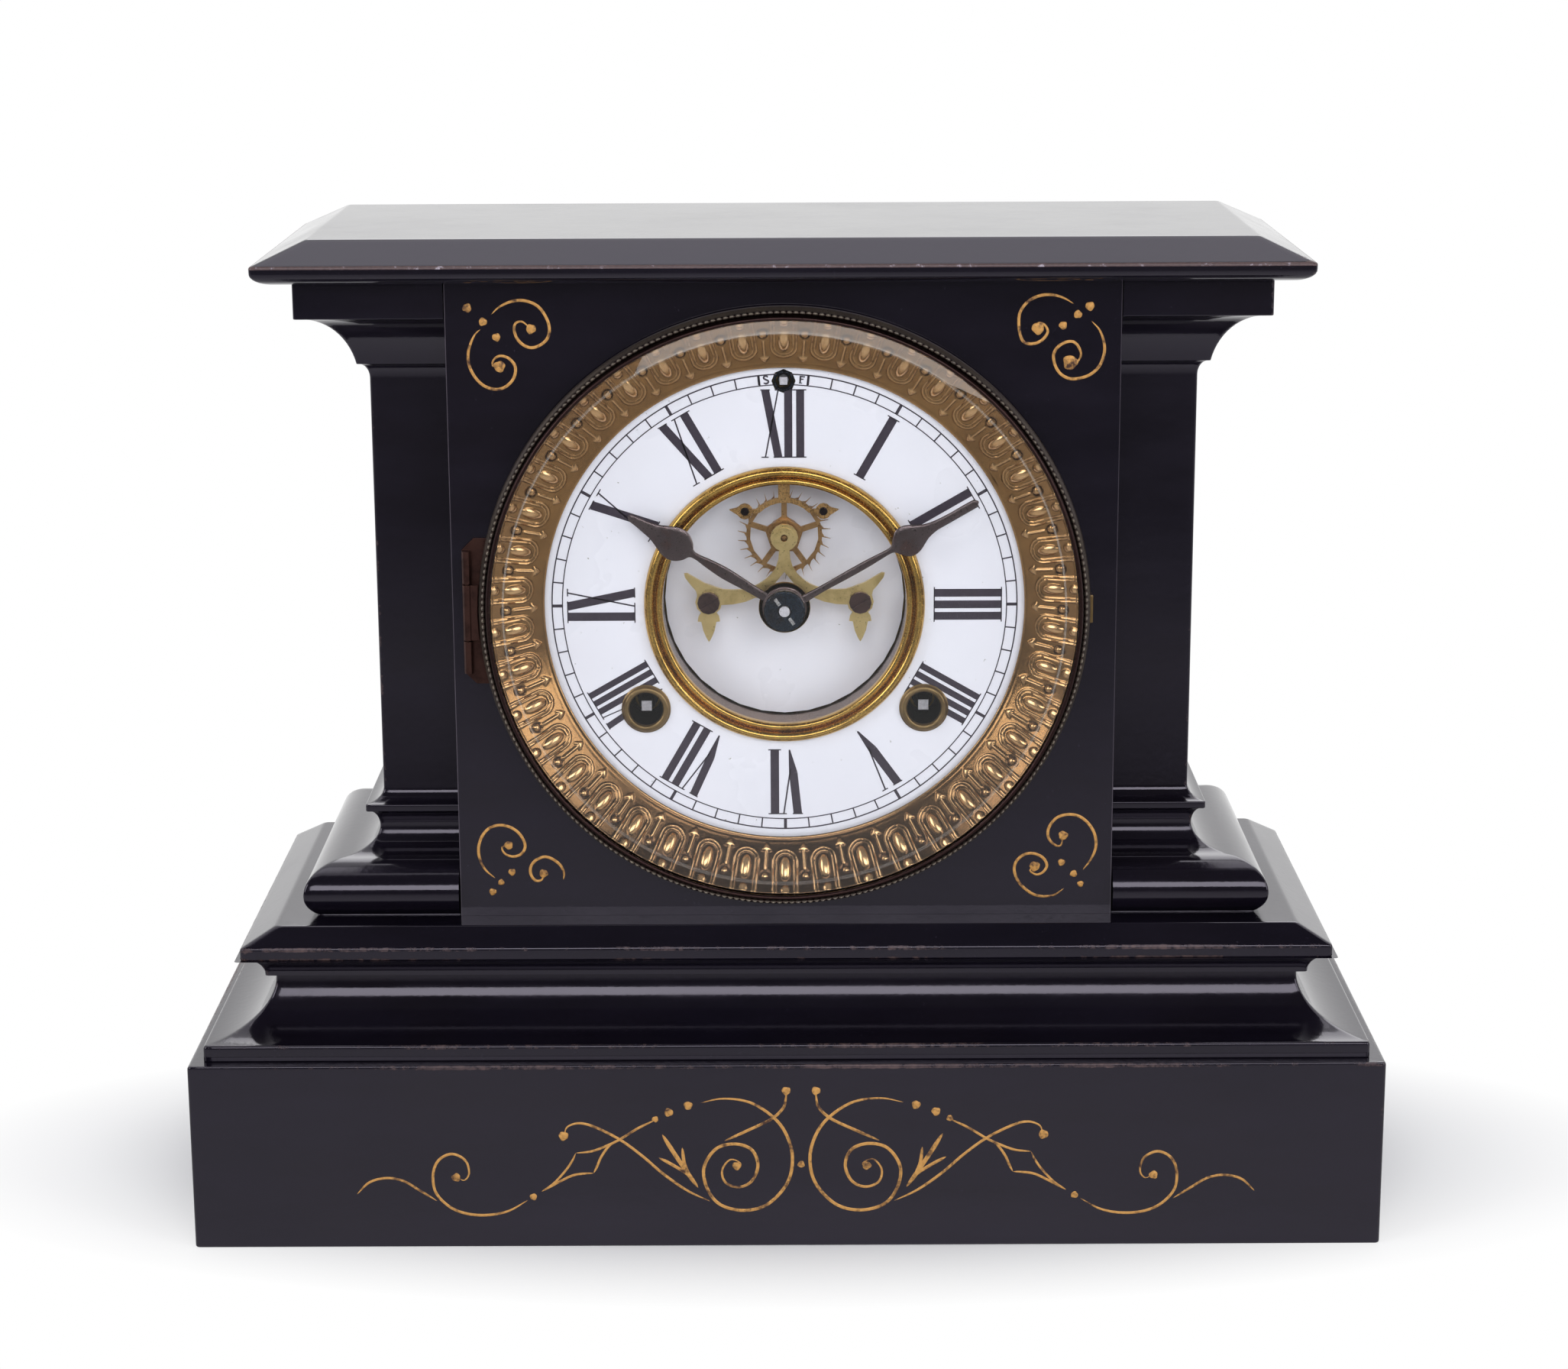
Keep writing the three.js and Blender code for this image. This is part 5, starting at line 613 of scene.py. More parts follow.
dial_face = -33.8
ink_lift, ink_sink = 0.06, 0.2
winding_right, winding_up, regulator_up = 35, -26.6, 56.5
dial_holes = ((-winding_right, winding_up, 5.1), (winding_right, winding_up, 5.1), (0, regulator_up, 2.25))
numeral_foot, numeral_head = 37.5, 54.3
thick_stroke, thin_stroke, serif_half = 1.98, 0.34, 0.14
numeral_narrowing = {1: 1.1, 2: 1.08, 3: 1.0, 4: 0.8}
track_inner, track_outer = 55.6, 58.2
letter_width = {"I": 2.95, "V": 4.9, "X": 5.2}
letter_strokes = {
    "I": [(1.48, 1, 1.48, 0, thick_stroke, thick_stroke)],
    "V": [(1.0, 1, 2.05, 0.36, thick_stroke, thick_stroke), (2.05, 0.36, 2.95, 0, thick_stroke, thin_stroke),
          (4.3, 1, 2.7, 0.3, thin_stroke, thin_stroke)],
    "X": [(1.0, 1, 4.2, 0, thick_stroke, thick_stroke), (4.2, 1, 1.0, 0, thin_stroke, thin_stroke)],
}
letter_serifs = {
    "I": [(0, 3.0, 1), (0, 3.0, 0)],
    "V": [(-0.2, 2.2, 1), (3.6, 5.1, 1)],
    "X": [(-0.2, 2.2, 1), (3.4, 5.2, 1), (0, 1.8, 0), (3.0, 5.4, 0)],
}


def bar(corners):
    """A flat bar of ink: four corners (right, up) from the dial's centre, from below its face to a hair above."""
    flat = np.array(corners, float)
    rings = [np.stack([flat[:, 0], 0 * flat[:, 0] + depth, dial_height + flat[:, 1]], 1)
             for depth in (dial_face + ink_sink, dial_face - ink_lift)]
    middles = [0 * ring + ring.mean(0) for ring in rings]
    return np.stack([middles[0], rings[0], rings[1], middles[1]], 1), (True, False)


def on_radius(angle, across, along):
    """The point that lies along from the centre and across to the clockwise side of the radius at angle."""
    return (along * math.sin(angle) + across * math.cos(angle), along * math.cos(angle) - across * math.sin(angle))


def stroke(first, last, first_width, last_width):
    """Bars of ink along a straight stroke, width w0 + (w1 - w0) t, left out where it would cross a hole."""
    first, last = np.array(first, float), np.array(last, float)
    share = np.linspace(0, 1, 241)
    line = first + (last - first) * share[:, None]
    clear = np.all([np.hypot(*(line - hole[:2]).T) > hole[2] for hole in dial_holes], axis=0)
    padded = np.concatenate([[False], clear, [False]])
    starts, ends = (np.flatnonzero(padded[1:] & ~padded[:-1]), np.flatnonzero(padded[:-1] & ~padded[1:]) - 1)
    across = np.array([last[1] - first[1], first[0] - last[0]]) / np.linalg.norm(last - first) / 2
    wide = (first_width + (last_width - first_width) * share)[:, None] * across
    return [bar([line[a] - wide[a], line[a] + wide[a], line[b] + wide[b], line[b] - wide[b]])
            for a, b in zip(starts, ends) if b > a]


printing = []
for hour, letters in enumerate("I II III IIII V VI VII VIII IX X XI XII".split(), 1):
    angle = math.radians(30 * hour)
    narrow = numeral_narrowing[len(letters)]
    tall = numeral_head - numeral_foot
    left = -narrow * sum(letter_width[letter] for letter in letters) / 2
    for letter in letters:
        for begin, begin_share, end, end_share, begin_width, end_width in letter_strokes[letter]:
            printing += stroke(on_radius(angle, left + narrow * begin, numeral_foot + tall * begin_share),
                               on_radius(angle, left + narrow * end, numeral_foot + tall * end_share),
                               narrow * begin_width, narrow * end_width)
        for begin, finish, at_head in letter_serifs[letter]:
            along = numeral_head if at_head else numeral_foot
            printing += stroke(on_radius(angle, left + narrow * begin, along),
                               on_radius(angle, left + narrow * finish, along), 2 * serif_half, 2 * serif_half)
        left += narrow * letter_width[letter]
for minute in range(1, 60):
    half = 0.38 if minute % 5 == 0 else 0.17
    printing.append(bar([on_radius(math.radians(6 * minute), across, along) for across, along in (
        (-half, track_inner), (half, track_inner), (half, track_outer), (-half, track_outer))]))
for middle, half, gap in ((track_inner, 0.13, 0.037), (track_outer, 0.16, 0.027)):
    ring_turn = np.linspace(gap, 2 * math.pi - gap, 361)[:, None]
    reach = middle + half * np.array([-1, 1, 1, -1])
    depth = dial_face + np.array([ink_sink, ink_sink, -ink_lift, -ink_lift])
    printing.append(closed_run(np.stack([
        reach * np.sin(ring_turn), depth + 0 * ring_turn, dial_height + reach * np.cos(ring_turn)], -1)))
for begin, finish, thickness in (((4.1, 56.0), (4.2, 57.8), 0.42), ((4.1, 57.65), (5.3, 57.5), 0.32),
                                 ((4.2, 56.95), (4.95, 56.9), 0.3), ((3.8, 56.0), (4.6, 55.95), 0.2),
                                 ((6.05, 55.45), (6.3, 57.95), 0.44), ((-6.05, 55.45), (-6.3, 57.95), 0.44)):
    begin, finish = np.array(begin), np.array(finish)
    run = finish - begin
    across = np.array([-run[1], run[0]]) / np.linalg.norm(run) * thickness / 2
    printing.append(bar([begin - across, finish - across, finish + across, begin + across]))
letter_s = [(-3.75, 57.4), (-4.2, 57.75), (-4.75, 57.65), (-4.9, 57.2), (-4.35, 56.85), (-3.75, 56.55),
            (-3.8, 56.1), (-4.35, 55.85), (-5.0, 56.1)]
printing.append(ribbon([(x, dial_height + up) for x, up in letter_s], 0.46, dial_face, ink_lift, ink_sink, 0.1, 0.1))
settle(surface("dial_printing", printing, sharp=20), ink, "case", "porcelain")


# Polished brass: rolled or turned, lacquered long ago and now mellow, with fine turning marks and a few darker
# blotches.
def metal(name, bright, dull, blotch, roughness, blotch_size=9.0, blotch_from=0.52, grain_size=0.5, relief=0.3):
    """A metal from what it is: two tones that drift over blotch_size mm, spots of tarnish, and a fine grain."""
    material, add, shader, here = start_material(name)
    drift = add("TexNoise", {"Vector": here, "Scale": per(blotch_size), "Detail": 5.0, "Roughness": 0.6})
    grain = add("TexNoise", {"Vector": here, "Scale": per(grain_size), "Detail": 4.0, "Roughness": 0.65})
    tone = add("Mix", {0: drift, 6: bright, 7: dull})
    spots = add("MapRange", {"Value": drift, "From Min": blotch_from, "From Max": blotch_from + 0.2})
    tarnish = add("Math", {0: spots, 1: grain}, operation="MULTIPLY")
    shown = add("Mix", {0: tarnish, 6: tone, 7: blotch})
    gloss = add("MapRange", {
        "Value": grain, "From Min": 0.3, "From Max": 0.7, "To Min": roughness - 0.07, "To Max": roughness + 0.12})
    bump = add("Bump", {"Height": grain, "Distance": 0.00003, "Strength": relief})
    feed(shader, {"Base Color": shown, "Metallic": 1.0, "Roughness": gloss, "Normal": bump})
    return material


polished_brass = metal("mellow_polished_brass", "#e2b966", "#b68d48", "#5c4622", 0.2)


# Well ring: a spun brass sleeve round the sunk centre, with two beads on its rim and a dark quirk between them.
# Its rim is polished, and its inside is coloured a darker, smeared brown from the rim inward.
def turned(profile, steps=120, right=0.0, up=0.0, rise=0.0):
    """Turns a section of (radius, forward) rows about an axis that points forward: (r sin a, -f, r cos a).
    Rise says how far each point is pushed forward; it is pushed out by half as much."""
    around = full_turn(steps)
    reach, forward = np.array(profile, float).T[:, None]
    reach, forward = reach + 0.5 * rise, forward + rise
    return np.stack([right + reach * np.sin(around), -forward + 0 * around,
                     dial_height + up + reach * np.cos(around)], -1)


def bead(middle, base, radius, height, steps=9):
    """A half-round bead on a section: (middle - radius cos a, base + height sin a)."""
    angle = np.linspace(0, math.pi, steps)
    return [(middle - radius * math.cos(a), base + height * math.sin(a)) for a in angle]


def reopened(material):
    """What adds nodes to a finished metal, its shader, the node that colours it, and its object coordinates."""
    add = partial(add_node, material.node_tree)
    shader = material.node_tree.nodes["Principled BSDF"]
    return add, shader, shader.inputs["Base Color"].links[0].from_node, add("TexCoord", {}).outputs["Object"]


well_section = [(30.5, 21.4), (30.5, 30), (30.6, 33.2)]
well_section += bead(31.5, 33.9, 0.9, 1.1) + [(32.5, 33.75)] + bead(33.9, 33.95, 1.3, 1.95)
well_section += [(35.1, 33.85), (31.3, 33.85), (31.3, 21.4)]
well_brass = metal("well_brass_darker_inside", "#e2b966", "#b68d48", "#5c4622", 0.2)
add, shader, clean, here = reopened(well_brass)
# Darker, smeared brown from the well's rim inward.
well_rim, well_depth = -0.0331, -0.0322
well_parts = add("SeparateXYZ", {0: here})
well_smear = add("TexNoise", {"Vector": here, "Scale": per(16), "Detail": 4.0})
well_inside = add("MapRange", {"Value": well_parts.outputs["Y"], "From Min": well_rim, "From Max": well_depth})
well_inside_darker = add("Mix", {0: well_smear, 6: "#8c6c54", 7: "#4c3830"})
feed(shader, {"Base Color": add("Mix", {0: well_inside, 6: clean, 7: well_inside_darker})})
settle(surface("well_rim_beads", [turned(well_section, 160)], sharp=60), well_brass, "case", "brass", "well_ring")


# Winding rings and regulating ring: turned eyelets of darkened brass and blued steel over the holes in the
# dial, with a near-black sleeve behind each winding hole that stands in for the shade inside it. The key squares
# are filed bright at their ends and painted near-black along the stretch inside their holes, as painted shade.
tarnished_brass = metal("tarnished_turned_brass", "#a08660", "#75603f", "#3b2d1c", 0.36)
shade_sleeve_black = metal("black_shade_sleeve_iron", "#221b20", "#151014", "#2a2320", 0.6)
for ring_name, ring_x in (("left_winding", -winding_right), ("right_winding", winding_right)):
    ring_section = [(4.2, 32.2), (4.2, 34.3)] + bead(5.0, 34.45, 0.75, 0.65) + [(5.8, 34.35)]
    ring_section += [(6.2, 34.1), (6.1, 33.85), (5.1, 33.85), (5.1, 32.2)]
    settle(surface(f"{ring_name}_eyelet", [turned(ring_section, 64, ring_x, winding_up)], sharp=60), tarnished_brass,
           "case", "aged_brass", f"{ring_name}_ring")
    # A near-black sleeve in each winding hole, standing in for the shade inside the hole.
    shade_sleeve_section = [(4.19, 33.9), (4.19, 22.4), (3.3, 22.4), (3.3, 22.0), (4.5, 22.0), (4.5, 31.6), (4.25, 32.0),
                    (4.25, 33.9)]
    settle(surface(f"{ring_name}_shade_sleeve", [turned(shade_sleeve_section, 48, ring_x, winding_up)], sharp=40), shade_sleeve_black,
           "case", "black_enamel")
blued = metal("blued_steel", "#20262f", "#14181f", "#3a3028", 0.26)
eyelet_section = [(2.0, 31.3), (2.0, 33.95)] + bead(2.24, 33.95, 0.24, 0.15, 5) + [(2.45, 31.3)]
settle(surface("regulating_eyelet", [turned(eyelet_section, 40, 0, regulator_up)], sharp=60), blued, "case",
       "blued_steel", "regulator_ring")
key_steel = metal("filed_key_square_steel", "#8a8782", "#5f5a54", "#5b3a26", 0.4, 3.0)
add, shader, clean, here = reopened(key_steel)
key_face, key_shade = -0.03088, -0.012
key_parts = add("SeparateXYZ", {0: here})
key_end = add("Math", {0: key_parts.outputs["Y"], 1: key_face}, operation="LESS_THAN")
# Painted shade: from 12 mm forward up to the filed end, each arbor is painted near-black, as the shade inside its
# hole.
key_shaded = add("Math", {0: key_parts.outputs["Y"], 1: key_shade}, operation="LESS_THAN")
key_marks = add("TexNoise", {"Vector": here, "Scale": per(0.6)})
key_bright = add("Mix", {0: key_marks, 6: "#97929b", 7: "#d9d5dd"})
key_painted_shade = add("Mix", {0: key_shaded, 6: clean, 7: "#2c282d"})
key_tone = add("Mix", {0: key_end, 6: key_painted_shade, 7: key_bright})
feed(shader, {"Base Color": key_tone, "Metallic": add("Mix", {0: key_end, 2: 1.0, 3: 0.1})})
for key_arbor in ("time_winding_arbor", "strike_winding_arbor", "regulator_arbor", "centre_arbor"):
    ease(key_arbor, 0.12, key_steel, 1, 50)
ease("dial_pan", 0, tarnished_brass)


# Bezel: a spun brass hoop gone nearly black, with a sloped outer edge, a milled row of small beads rubbed pale,
# and a smooth round lip on the glass.
bezel_metal = metal("dark_patinated_brass", "#4a3736", "#2e2222", "#5a4c40", 0.3, 2.4, 0.55, 0.35, 0.6)
add, shader, clean, here = reopened(bezel_metal)
milled = add("Attribute", {}, attribute_name="edge")
milled_grey = add("TexNoise", {"Vector": here, "Scale": per(5)})
milled_pale = add("Mix", {0: milled_grey, 6: "#857a68", 7: "#5b5656"})
milled_metal = add("MapRange", {"Value": milled.outputs["Fac"], "To Min": 1.0, "To Max": 0.35})
bezel_tone = add("Mix", {0: milled.outputs["Fac"], 6: clean, 7: milled_pale})
feed(shader, {"Base Color": bezel_tone, "Metallic": milled_metal})
milled_beads = 300
bead_rise = 0.5
bezel_section = [(74.2, 40.8), (76.0, 40.8), (76.05, 41.4), (75.85, 42.3), (75.5, 43.1), (75.15, 43.6)]
bead_row = len(bezel_section)
bezel_section += [(75.1, 43.75), (75.0, 44.1), (74.8, 44.35), (74.55, 44.4), (74.35, 44.2), (74.25, 43.9)]
bead_rows = np.arange(bead_row, len(bezel_section))
bezel_section += [(74.15, 43.9), (74.12, 44.5), (74.0, 45.1), (73.75, 45.55), (73.4, 45.75), (73.05, 45.6),
                  (72.85, 45.25), (72.95, 44.9), (73.9, 44.68), (73.95, 43.0), (74.2, 43.0)]
bead_share = np.zeros(len(bezel_section))
bead_share[bead_rows] = np.sin(np.linspace(0.3, math.pi - 0.3, len(bead_rows)))
bezel_steps = milled_beads * 6
bezel_pale = np.abs(np.cos(full_turn(bezel_steps) * milled_beads / 2)) * bead_share
bezel_grid = turned(bezel_section, bezel_steps, rise=bead_rise * bezel_pale)
bezel_pale[:, 1:bead_row] = 0.55
settle(surface("milled_bezel", [bezel_grid], bezel_pale, sharp=70), bezel_metal, "door", "aged_brass", "bezel")


# Glass: flat plate with a ground bevel 4 mm wide, whose inner arris shows as a faint line. Light passes it as
# through thin plate, so it throws no hard shadow on the dial.
pane, add, shader, here = start_material("bevelled_clear_glass")
smear = add("TexNoise", {"Vector": here, "Scale": per(30), "Detail": 5.0})
streak = add("MapRange", {"Value": smear, "From Min": 0.45, "From Max": 0.8, "To Min": 0.0, "To Max": 0.05})
tint = add("Mix", {0: smear, 6: "#ffffff", 7: "#fafcfb"})
ripple = add("Bump", {"Height": smear, "Distance": 0.0001, "Strength": 0.1})
feed(shader, {"Base Color": tint, "Roughness": streak, "Normal": ripple, "Transmission Weight": 1.0, "IOR": 1.5,
              "Specular IOR Level": 0.1})
bevel_start = 0.0697
glass_path = add("LightPath", {})
glass_clear = add("BsdfTransparent", {"Color": "#fbfdfc"})
glass_passing = add("Math", {
    0: glass_path.outputs["Is Shadow Ray"], 1: glass_path.outputs["Is Diffuse Ray"]}, operation="MAXIMUM")
glass_mix = add("MixShader", {0: glass_passing, 1: shader, 2: glass_clear})
glass_place = add("VectorMath", {0: here, 1: (0, 0, dial_height / 1000)}, operation="SUBTRACT")
glass_flat = add("VectorMath", {0: glass_place, 1: (1, 0, 1)}, operation="MULTIPLY")
glass_reach = add("VectorMath", {0: glass_flat}, operation="LENGTH")
glass_line = add("Math", {0: glass_reach.outputs["Value"], 1: bevel_start, 2: 0.0002}, operation="COMPARE")
glass_edge = add("Math", {0: glass_line, 1: 0.1}, operation="MULTIPLY")
glass_ground = add("BsdfDiffuse", {"Color": "#d9d4cf"})
glass_shown = add("MixShader", {0: glass_edge, 1: glass_mix, 2: glass_ground})
feed(pane.node_tree.nodes["Material Output"], {"Surface": glass_shown})
glass_section = [(0, 43.2), (40, 43.2), (73.7, 43.2), (73.9, 43.4), (73.9, 44.45), (73.75, 44.55), (70.0, 45.55),
                 (69.7, 45.6), (40, 45.6), (0, 45.6)]
settle(surface("bevelled_glass", [(turned(glass_section, 180), (True, False))], sharp=8), pane, "door", "glass",
       "bezel_glass")


# Embossed ring: thin gilt brass stamped over a die into eggs in double arches with darts between them. Its
# hollows hold brown tarnish and its crests are rubbed bright. Its flat ground is painted darker towards the
# bottom of the ring, as painted shade.
stamped, add, shader, here = start_material("stamped_gilt_brass")
relief = add("Attribute", {}, attribute_name="edge")
wear_noise = add("TexNoise", {"Vector": here, "Scale": per(12), "Detail": 6.0, "Roughness": 0.65})
fine = add("TexNoise", {"Vector": here, "Scale": per(0.6), "Detail": 3.0})
recess = add("MapRange", {"Value": relief.outputs["Fac"], "From Min": -0.26, "From Max": 0.0})
crest = add("MapRange", {"Value": relief.outputs["Fac"], "From Min": 0.12, "From Max": 0.6})
low_tone = add("Mix", {0: wear_noise, 6: "#46332a", 7: "#271b18"})
even_tone = add("Mix", {0: wear_noise, 6: "#b58b5a", 7: "#7d5e41"})
stamped_parts = add("SeparateXYZ", {0: here})
# Painted shade: the flat ground is darkened towards the bottom of the ring.
shade_low_z, shade_high_z = (dial_height - 62) / 1000, (dial_height - 20) / 1000
painted_shade_below = add("MapRange", {"Value": stamped_parts.outputs["Z"], "From Min": shade_low_z,
                                 "From Max": shade_high_z, "To Min": 0.78, "To Max": 0.0})
flat_tone_shaded_below = add("Mix", {0: painted_shade_below, 6: even_tone, 7: "#3d2c26"})
high_tone = add("Mix", {0: wear_noise, 6: "#f6cf9c", 7: "#cf9f70"})
ground_tone = add("Mix", {0: recess, 6: low_tone, 7: flat_tone_shaded_below})
ring_tone = add("Mix", {0: crest, 6: ground_tone, 7: high_tone})
ring_gloss = add("MapRange", {"Value": crest, "To Min": 0.2, "To Max": 0.22})
ring_grain = add("Bump", {"Height": fine, "Distance": 0.00003, "Strength": 0.3})
feed(shader, {"Base Color": ring_tone, "Metallic": 1.0, "Roughness": ring_gloss, "Normal": ring_grain})

egg_count = 42
columns_each = 46
relief_share = 0.6
metal_thickness = 0.75
cone_low, cone_high = np.array([60.0, 35.0]), np.array([72.8, 42.5])
cone_length = np.linalg.norm(cone_high - cone_low)
cone_normal = np.array([-(cone_high - cone_low)[1], (cone_high - cone_low)[0]]) / cone_length


def ridge(distance, width, height):
    """A rounded line: height * exp(-(distance / width)^2)."""
    return height * np.exp(-(distance / width) ** 2)


def egg_and_dart(across, along, pitch):
    """Height over the cone, in mm. Each egg is a half ellipsoid in a hollow, with a lobe above it; two fine
    arches with sunk lines beside them, at distances from a line that ends in a half circle, close the hollow;
    between two runs stands a dart, a slim shaft with an arrow head at its foot and a round boss above it; a
    milled line ends the inner rim."""
    inward = np.minimum(0, along - 6.6)
    round_arch = np.sqrt(across ** 2 + inward ** 2)
    hollow_share = 1 / (1 + np.exp((round_arch - 1.95) * 8))
    height = -0.55 * hollow_share
    for middle, half_length, half_width, crown in ((8.3, 3.3, 1.45, 1.7), (13.7, 1.7, 1.4, 1.2)):
        dome = 1 - (across / half_width) ** 2 - ((along - middle) / half_length) ** 2
        height = height + crown * np.sqrt(np.clip(dome, 0, 1))
    for reach, width, crown in ((2.3, 0.27, 0.5), (3.1, 0.3, 0.5)):
        height = height + ridge(round_arch - reach, width, crown) * (1 - hollow_share)
    for reach, width, depth in ((2.7, 0.2, 0.35), (3.65, 0.3, 0.5)):
        height = height - ridge(round_arch - reach, width, depth) / (1 + np.exp((along - 12.5) * 4))
    aside = np.abs(pitch / 2 - np.abs(across))
    shaft = ridge(aside, 0.3, 0.55) / (1 + np.exp((3.2 - along) * 4)) / (1 + np.exp((along - 9.0) * 4))
    half_head = np.clip((along - 1.9) * 0.7, 0, 1.15) * (along < 3.9)
    head = 0.55 / (1 + np.exp((aside - half_head) * 12)) / (1 + np.exp((2.0 - along) * 7))
    head = head / (1 + np.exp((along - 3.8) * 7))
    boss_away = np.sqrt(aside ** 2 + (along - 10.4) ** 2)
    boss = 0.5 * np.sqrt(np.clip(1 - (boss_away / 0.85) ** 2, 0, 1)) - ridge(boss_away - 1.1, 0.18, 0.35)
    milling = 0.12 * (np.abs(along - 1.35) < 0.3) * (np.arange(len(across)) % 2)[:, None]
    rims = ridge(along - 0.3, 0.3, 0.35) + ridge(along - 14.6, 0.2, 0.25)
    return np.maximum(height, np.maximum(shaft, head) - 0.001) + boss + milling + rims


along = np.concatenate([[0, 0.3, 0.6, 1.05, 1.3, 1.6], np.linspace(1.9, cone_length - 0.6, 41),
                        [cone_length - 0.3, cone_length]])[None, :]
place = cone_low + (cone_high - cone_low) * (along.T / cone_length)
column = np.arange(egg_count * columns_each)
within = ((column % columns_each) / columns_each - 0.5)[:, None]
pitch = 2 * math.pi * place[:, 0] / egg_count
sight_height = egg_and_dart(within * pitch, along, pitch)
sight_back = np.array([cone_high, cone_low]) - metal_thickness * cone_normal
around = (2 * math.pi * (column + 0.5 - columns_each / 2) / len(column))[:, None]
reach, forward = (np.concatenate([place[:, part] + cone_normal[part] * sight_height * relief_share,
                                  np.broadcast_to(sight_back[:, part], (len(column), 2))], 1) for part in (0, 1))
sight_points = np.stack([reach * np.sin(around), -forward, dial_height + reach * np.cos(around)], -1)
sight_relief = np.concatenate([sight_height, np.zeros((len(column), 2))], 1)
settle(surface("egg_and_dart_ring", [sight_points], sight_relief, sharp=80), stamped, "door", "gilt", "sight_ring")


# Hinge and catch: folded copper-brown sheet with rolled knuckles, its lacquer gone dark in blotches.
hinge_metal = metal("browned_copper_sheet", "#5a3f39", "#3d2c2a", "#241b1b", 0.46, 4.0)
for hinge_part in ("hinge_case_leaf", "hinge_door_leaf", "back_door_hinge"):
    ease(hinge_part, 0.12, hinge_metal, 2, 50)
ease("bezel_catch", 0.15, tarnished_brass)


# Hands: stamped steel, once blued and now an even brown, each a long slender stem with a spade-shaped pad and
# a drawn-out tip.
browned = metal("browned_steel", "#766a6c", "#53484b", "#6f4c44", 0.3, 6.0, 0.56)


def spade_hand(name, body, node, stations, back, front, angle, boss_radius):
    """A hand as a flattened oval carried along its stem: half width follows the stations (distance, half width)
    by the Catmull-Rom curve, the section is (w cos a, t sign(sin a) |sin a|^0.6)."""
    line = flowing(stations, 0.35)
    line[:, 1] = np.clip(line[:, 1], 0.02, None)
    oval = full_turn(16).T
    thick = (front - back) / 2
    across = line[:, 1:] * np.cos(oval)
    lift = thick * np.sign(np.sin(oval)) * np.abs(np.sin(oval)) ** 0.6
    lift = lift * np.clip(line[:, 1:] / 0.6, 0.2, 1)
    reach = line[:, :1] + 0 * across
    right = reach * math.sin(angle) + across * math.cos(angle)
    up = reach * math.cos(angle) - across * math.sin(angle)
    blade = closed_run(np.stack([right, -(front + back) / 2 - lift, dial_height + up], -1))
    boss = turned([(1.6, back), (boss_radius - 0.2, back), (boss_radius, back + 0.2), (boss_radius, front - 0.1),
                   (boss_radius - 0.25, front + 0.06), (1.6, front + 0.06)], 72)
    return settle(surface(name, [blade, boss], sharp=60), browned, body, "rusted_steel", node)


hour_stations = [(4.0, 1.2), (6.5, 1.15), (10, 1.2), (15, 1.45), (18, 1.5), (22, 1.2), (25.4, 0.8), (27.0, 1.1),
                 (28.0, 2.5), (29.6, 3.75), (31.4, 4.25), (33.4, 3.95), (35.6, 3.0), (37.6, 2.15), (40.2, 1.5),
                 (42.8, 1.15), (44.6, 0.85), (45.3, 0.2)]
minute_stations = [(4.5, 1.15), (7.5, 0.95), (12, 0.85), (18, 0.95), (23, 0.95), (27, 0.8), (29.6, 0.7),
                   (31.0, 1.0), (32.2, 2.4), (33.6, 3.6), (35.2, 4.0), (37.0, 3.6), (38.8, 2.6), (40.6, 1.75),
                   (43.5, 1.2), (47.5, 1.0), (51.5, 1.05), (54.2, 0.95), (55.2, 0.2)]
spade_hand("hour_spade_hand", "hour_drive", "hour_hand", hour_stations, 37.3, 38.0, math.radians(-58.7), 5.6)
spade_hand("minute_spade_hand", "minute_drive", "minute_hand", minute_stations, 38.9, 39.6, math.radians(60.5), 5.4)
collar_section = [(3.6, 35.9), (6.3, 35.9), (6.45, 36.1), (6.45, 36.7), (6.3, 36.9), (3.6, 36.9)]
settle(surface("hour_hand_collar", [turned(collar_section, 72)], sharp=50), tarnished_brass, "hour_drive",
       "aged_brass")
blued_nut = metal("blued_nut_with_bright_pin", "#46505f", "#2c333f", "#57483c", 0.26, 6.0)
add, shader, clean, here = reopened(blued_nut)
pin_face = -0.04156
nut_parts = add("SeparateXYZ", {0: here})
pin_part = add("Math", {0: nut_parts.outputs["Y"], 1: pin_face}, operation="LESS_THAN")
feed(shader, {"Base Color": add("Mix", {0: pin_part, 6: clean, 7: "#e8e6ea"})})
ease("hand_nut", 0.2, blued_nut, 2, 30)


# Escapement: a coppery gilt wheel of thirty fine teeth, steel pallets, and a sawn brass bridge in front of it
# with horns and leaves, its faces grained and its arrises bright.
bridge_brass = metal("grained_brass_bridge", "#f0d8a0", "#d8bc80", "#a98f5a", 0.32, 5.0)
wheel_brass = metal("brown_wheel_brass", "#c79f70", "#9c754c", "#6b4a30", 0.3, 3.0)
ease("escapement_bridge", 0.12, bridge_brass, 2, 30)
ease("escape_wheel", 0.06, wheel_brass, 1, 40)
anchor_brass = metal("gilt_anchor_with_steel_rivets", "#edc084", "#bd9058", "#6a4a2e", 0.26, 3.0)
add, shader, clean, here = reopened(anchor_brass)
rivet_x, rivet_z, rivet_radius = 0.00981, 0.18307, 0.00105
anchor_parts = add("SeparateXYZ", {0: here})
anchor_side = add("Math", {0: anchor_parts.outputs["X"]}, operation="ABSOLUTE")
rivet_side = add("Math", {0: anchor_side, 1: rivet_x}, operation="SUBTRACT")
rivet_up = add("Math", {0: anchor_parts.outputs["Z"], 1: rivet_z}, operation="SUBTRACT")
rivet_offset = add("CombineXYZ", {0: rivet_side, 1: rivet_up})
rivet_away = add("VectorMath", {0: rivet_offset}, operation="LENGTH")
rivet_part = add("Math", {0: rivet_away.outputs["Value"], 1: rivet_radius}, operation="LESS_THAN")
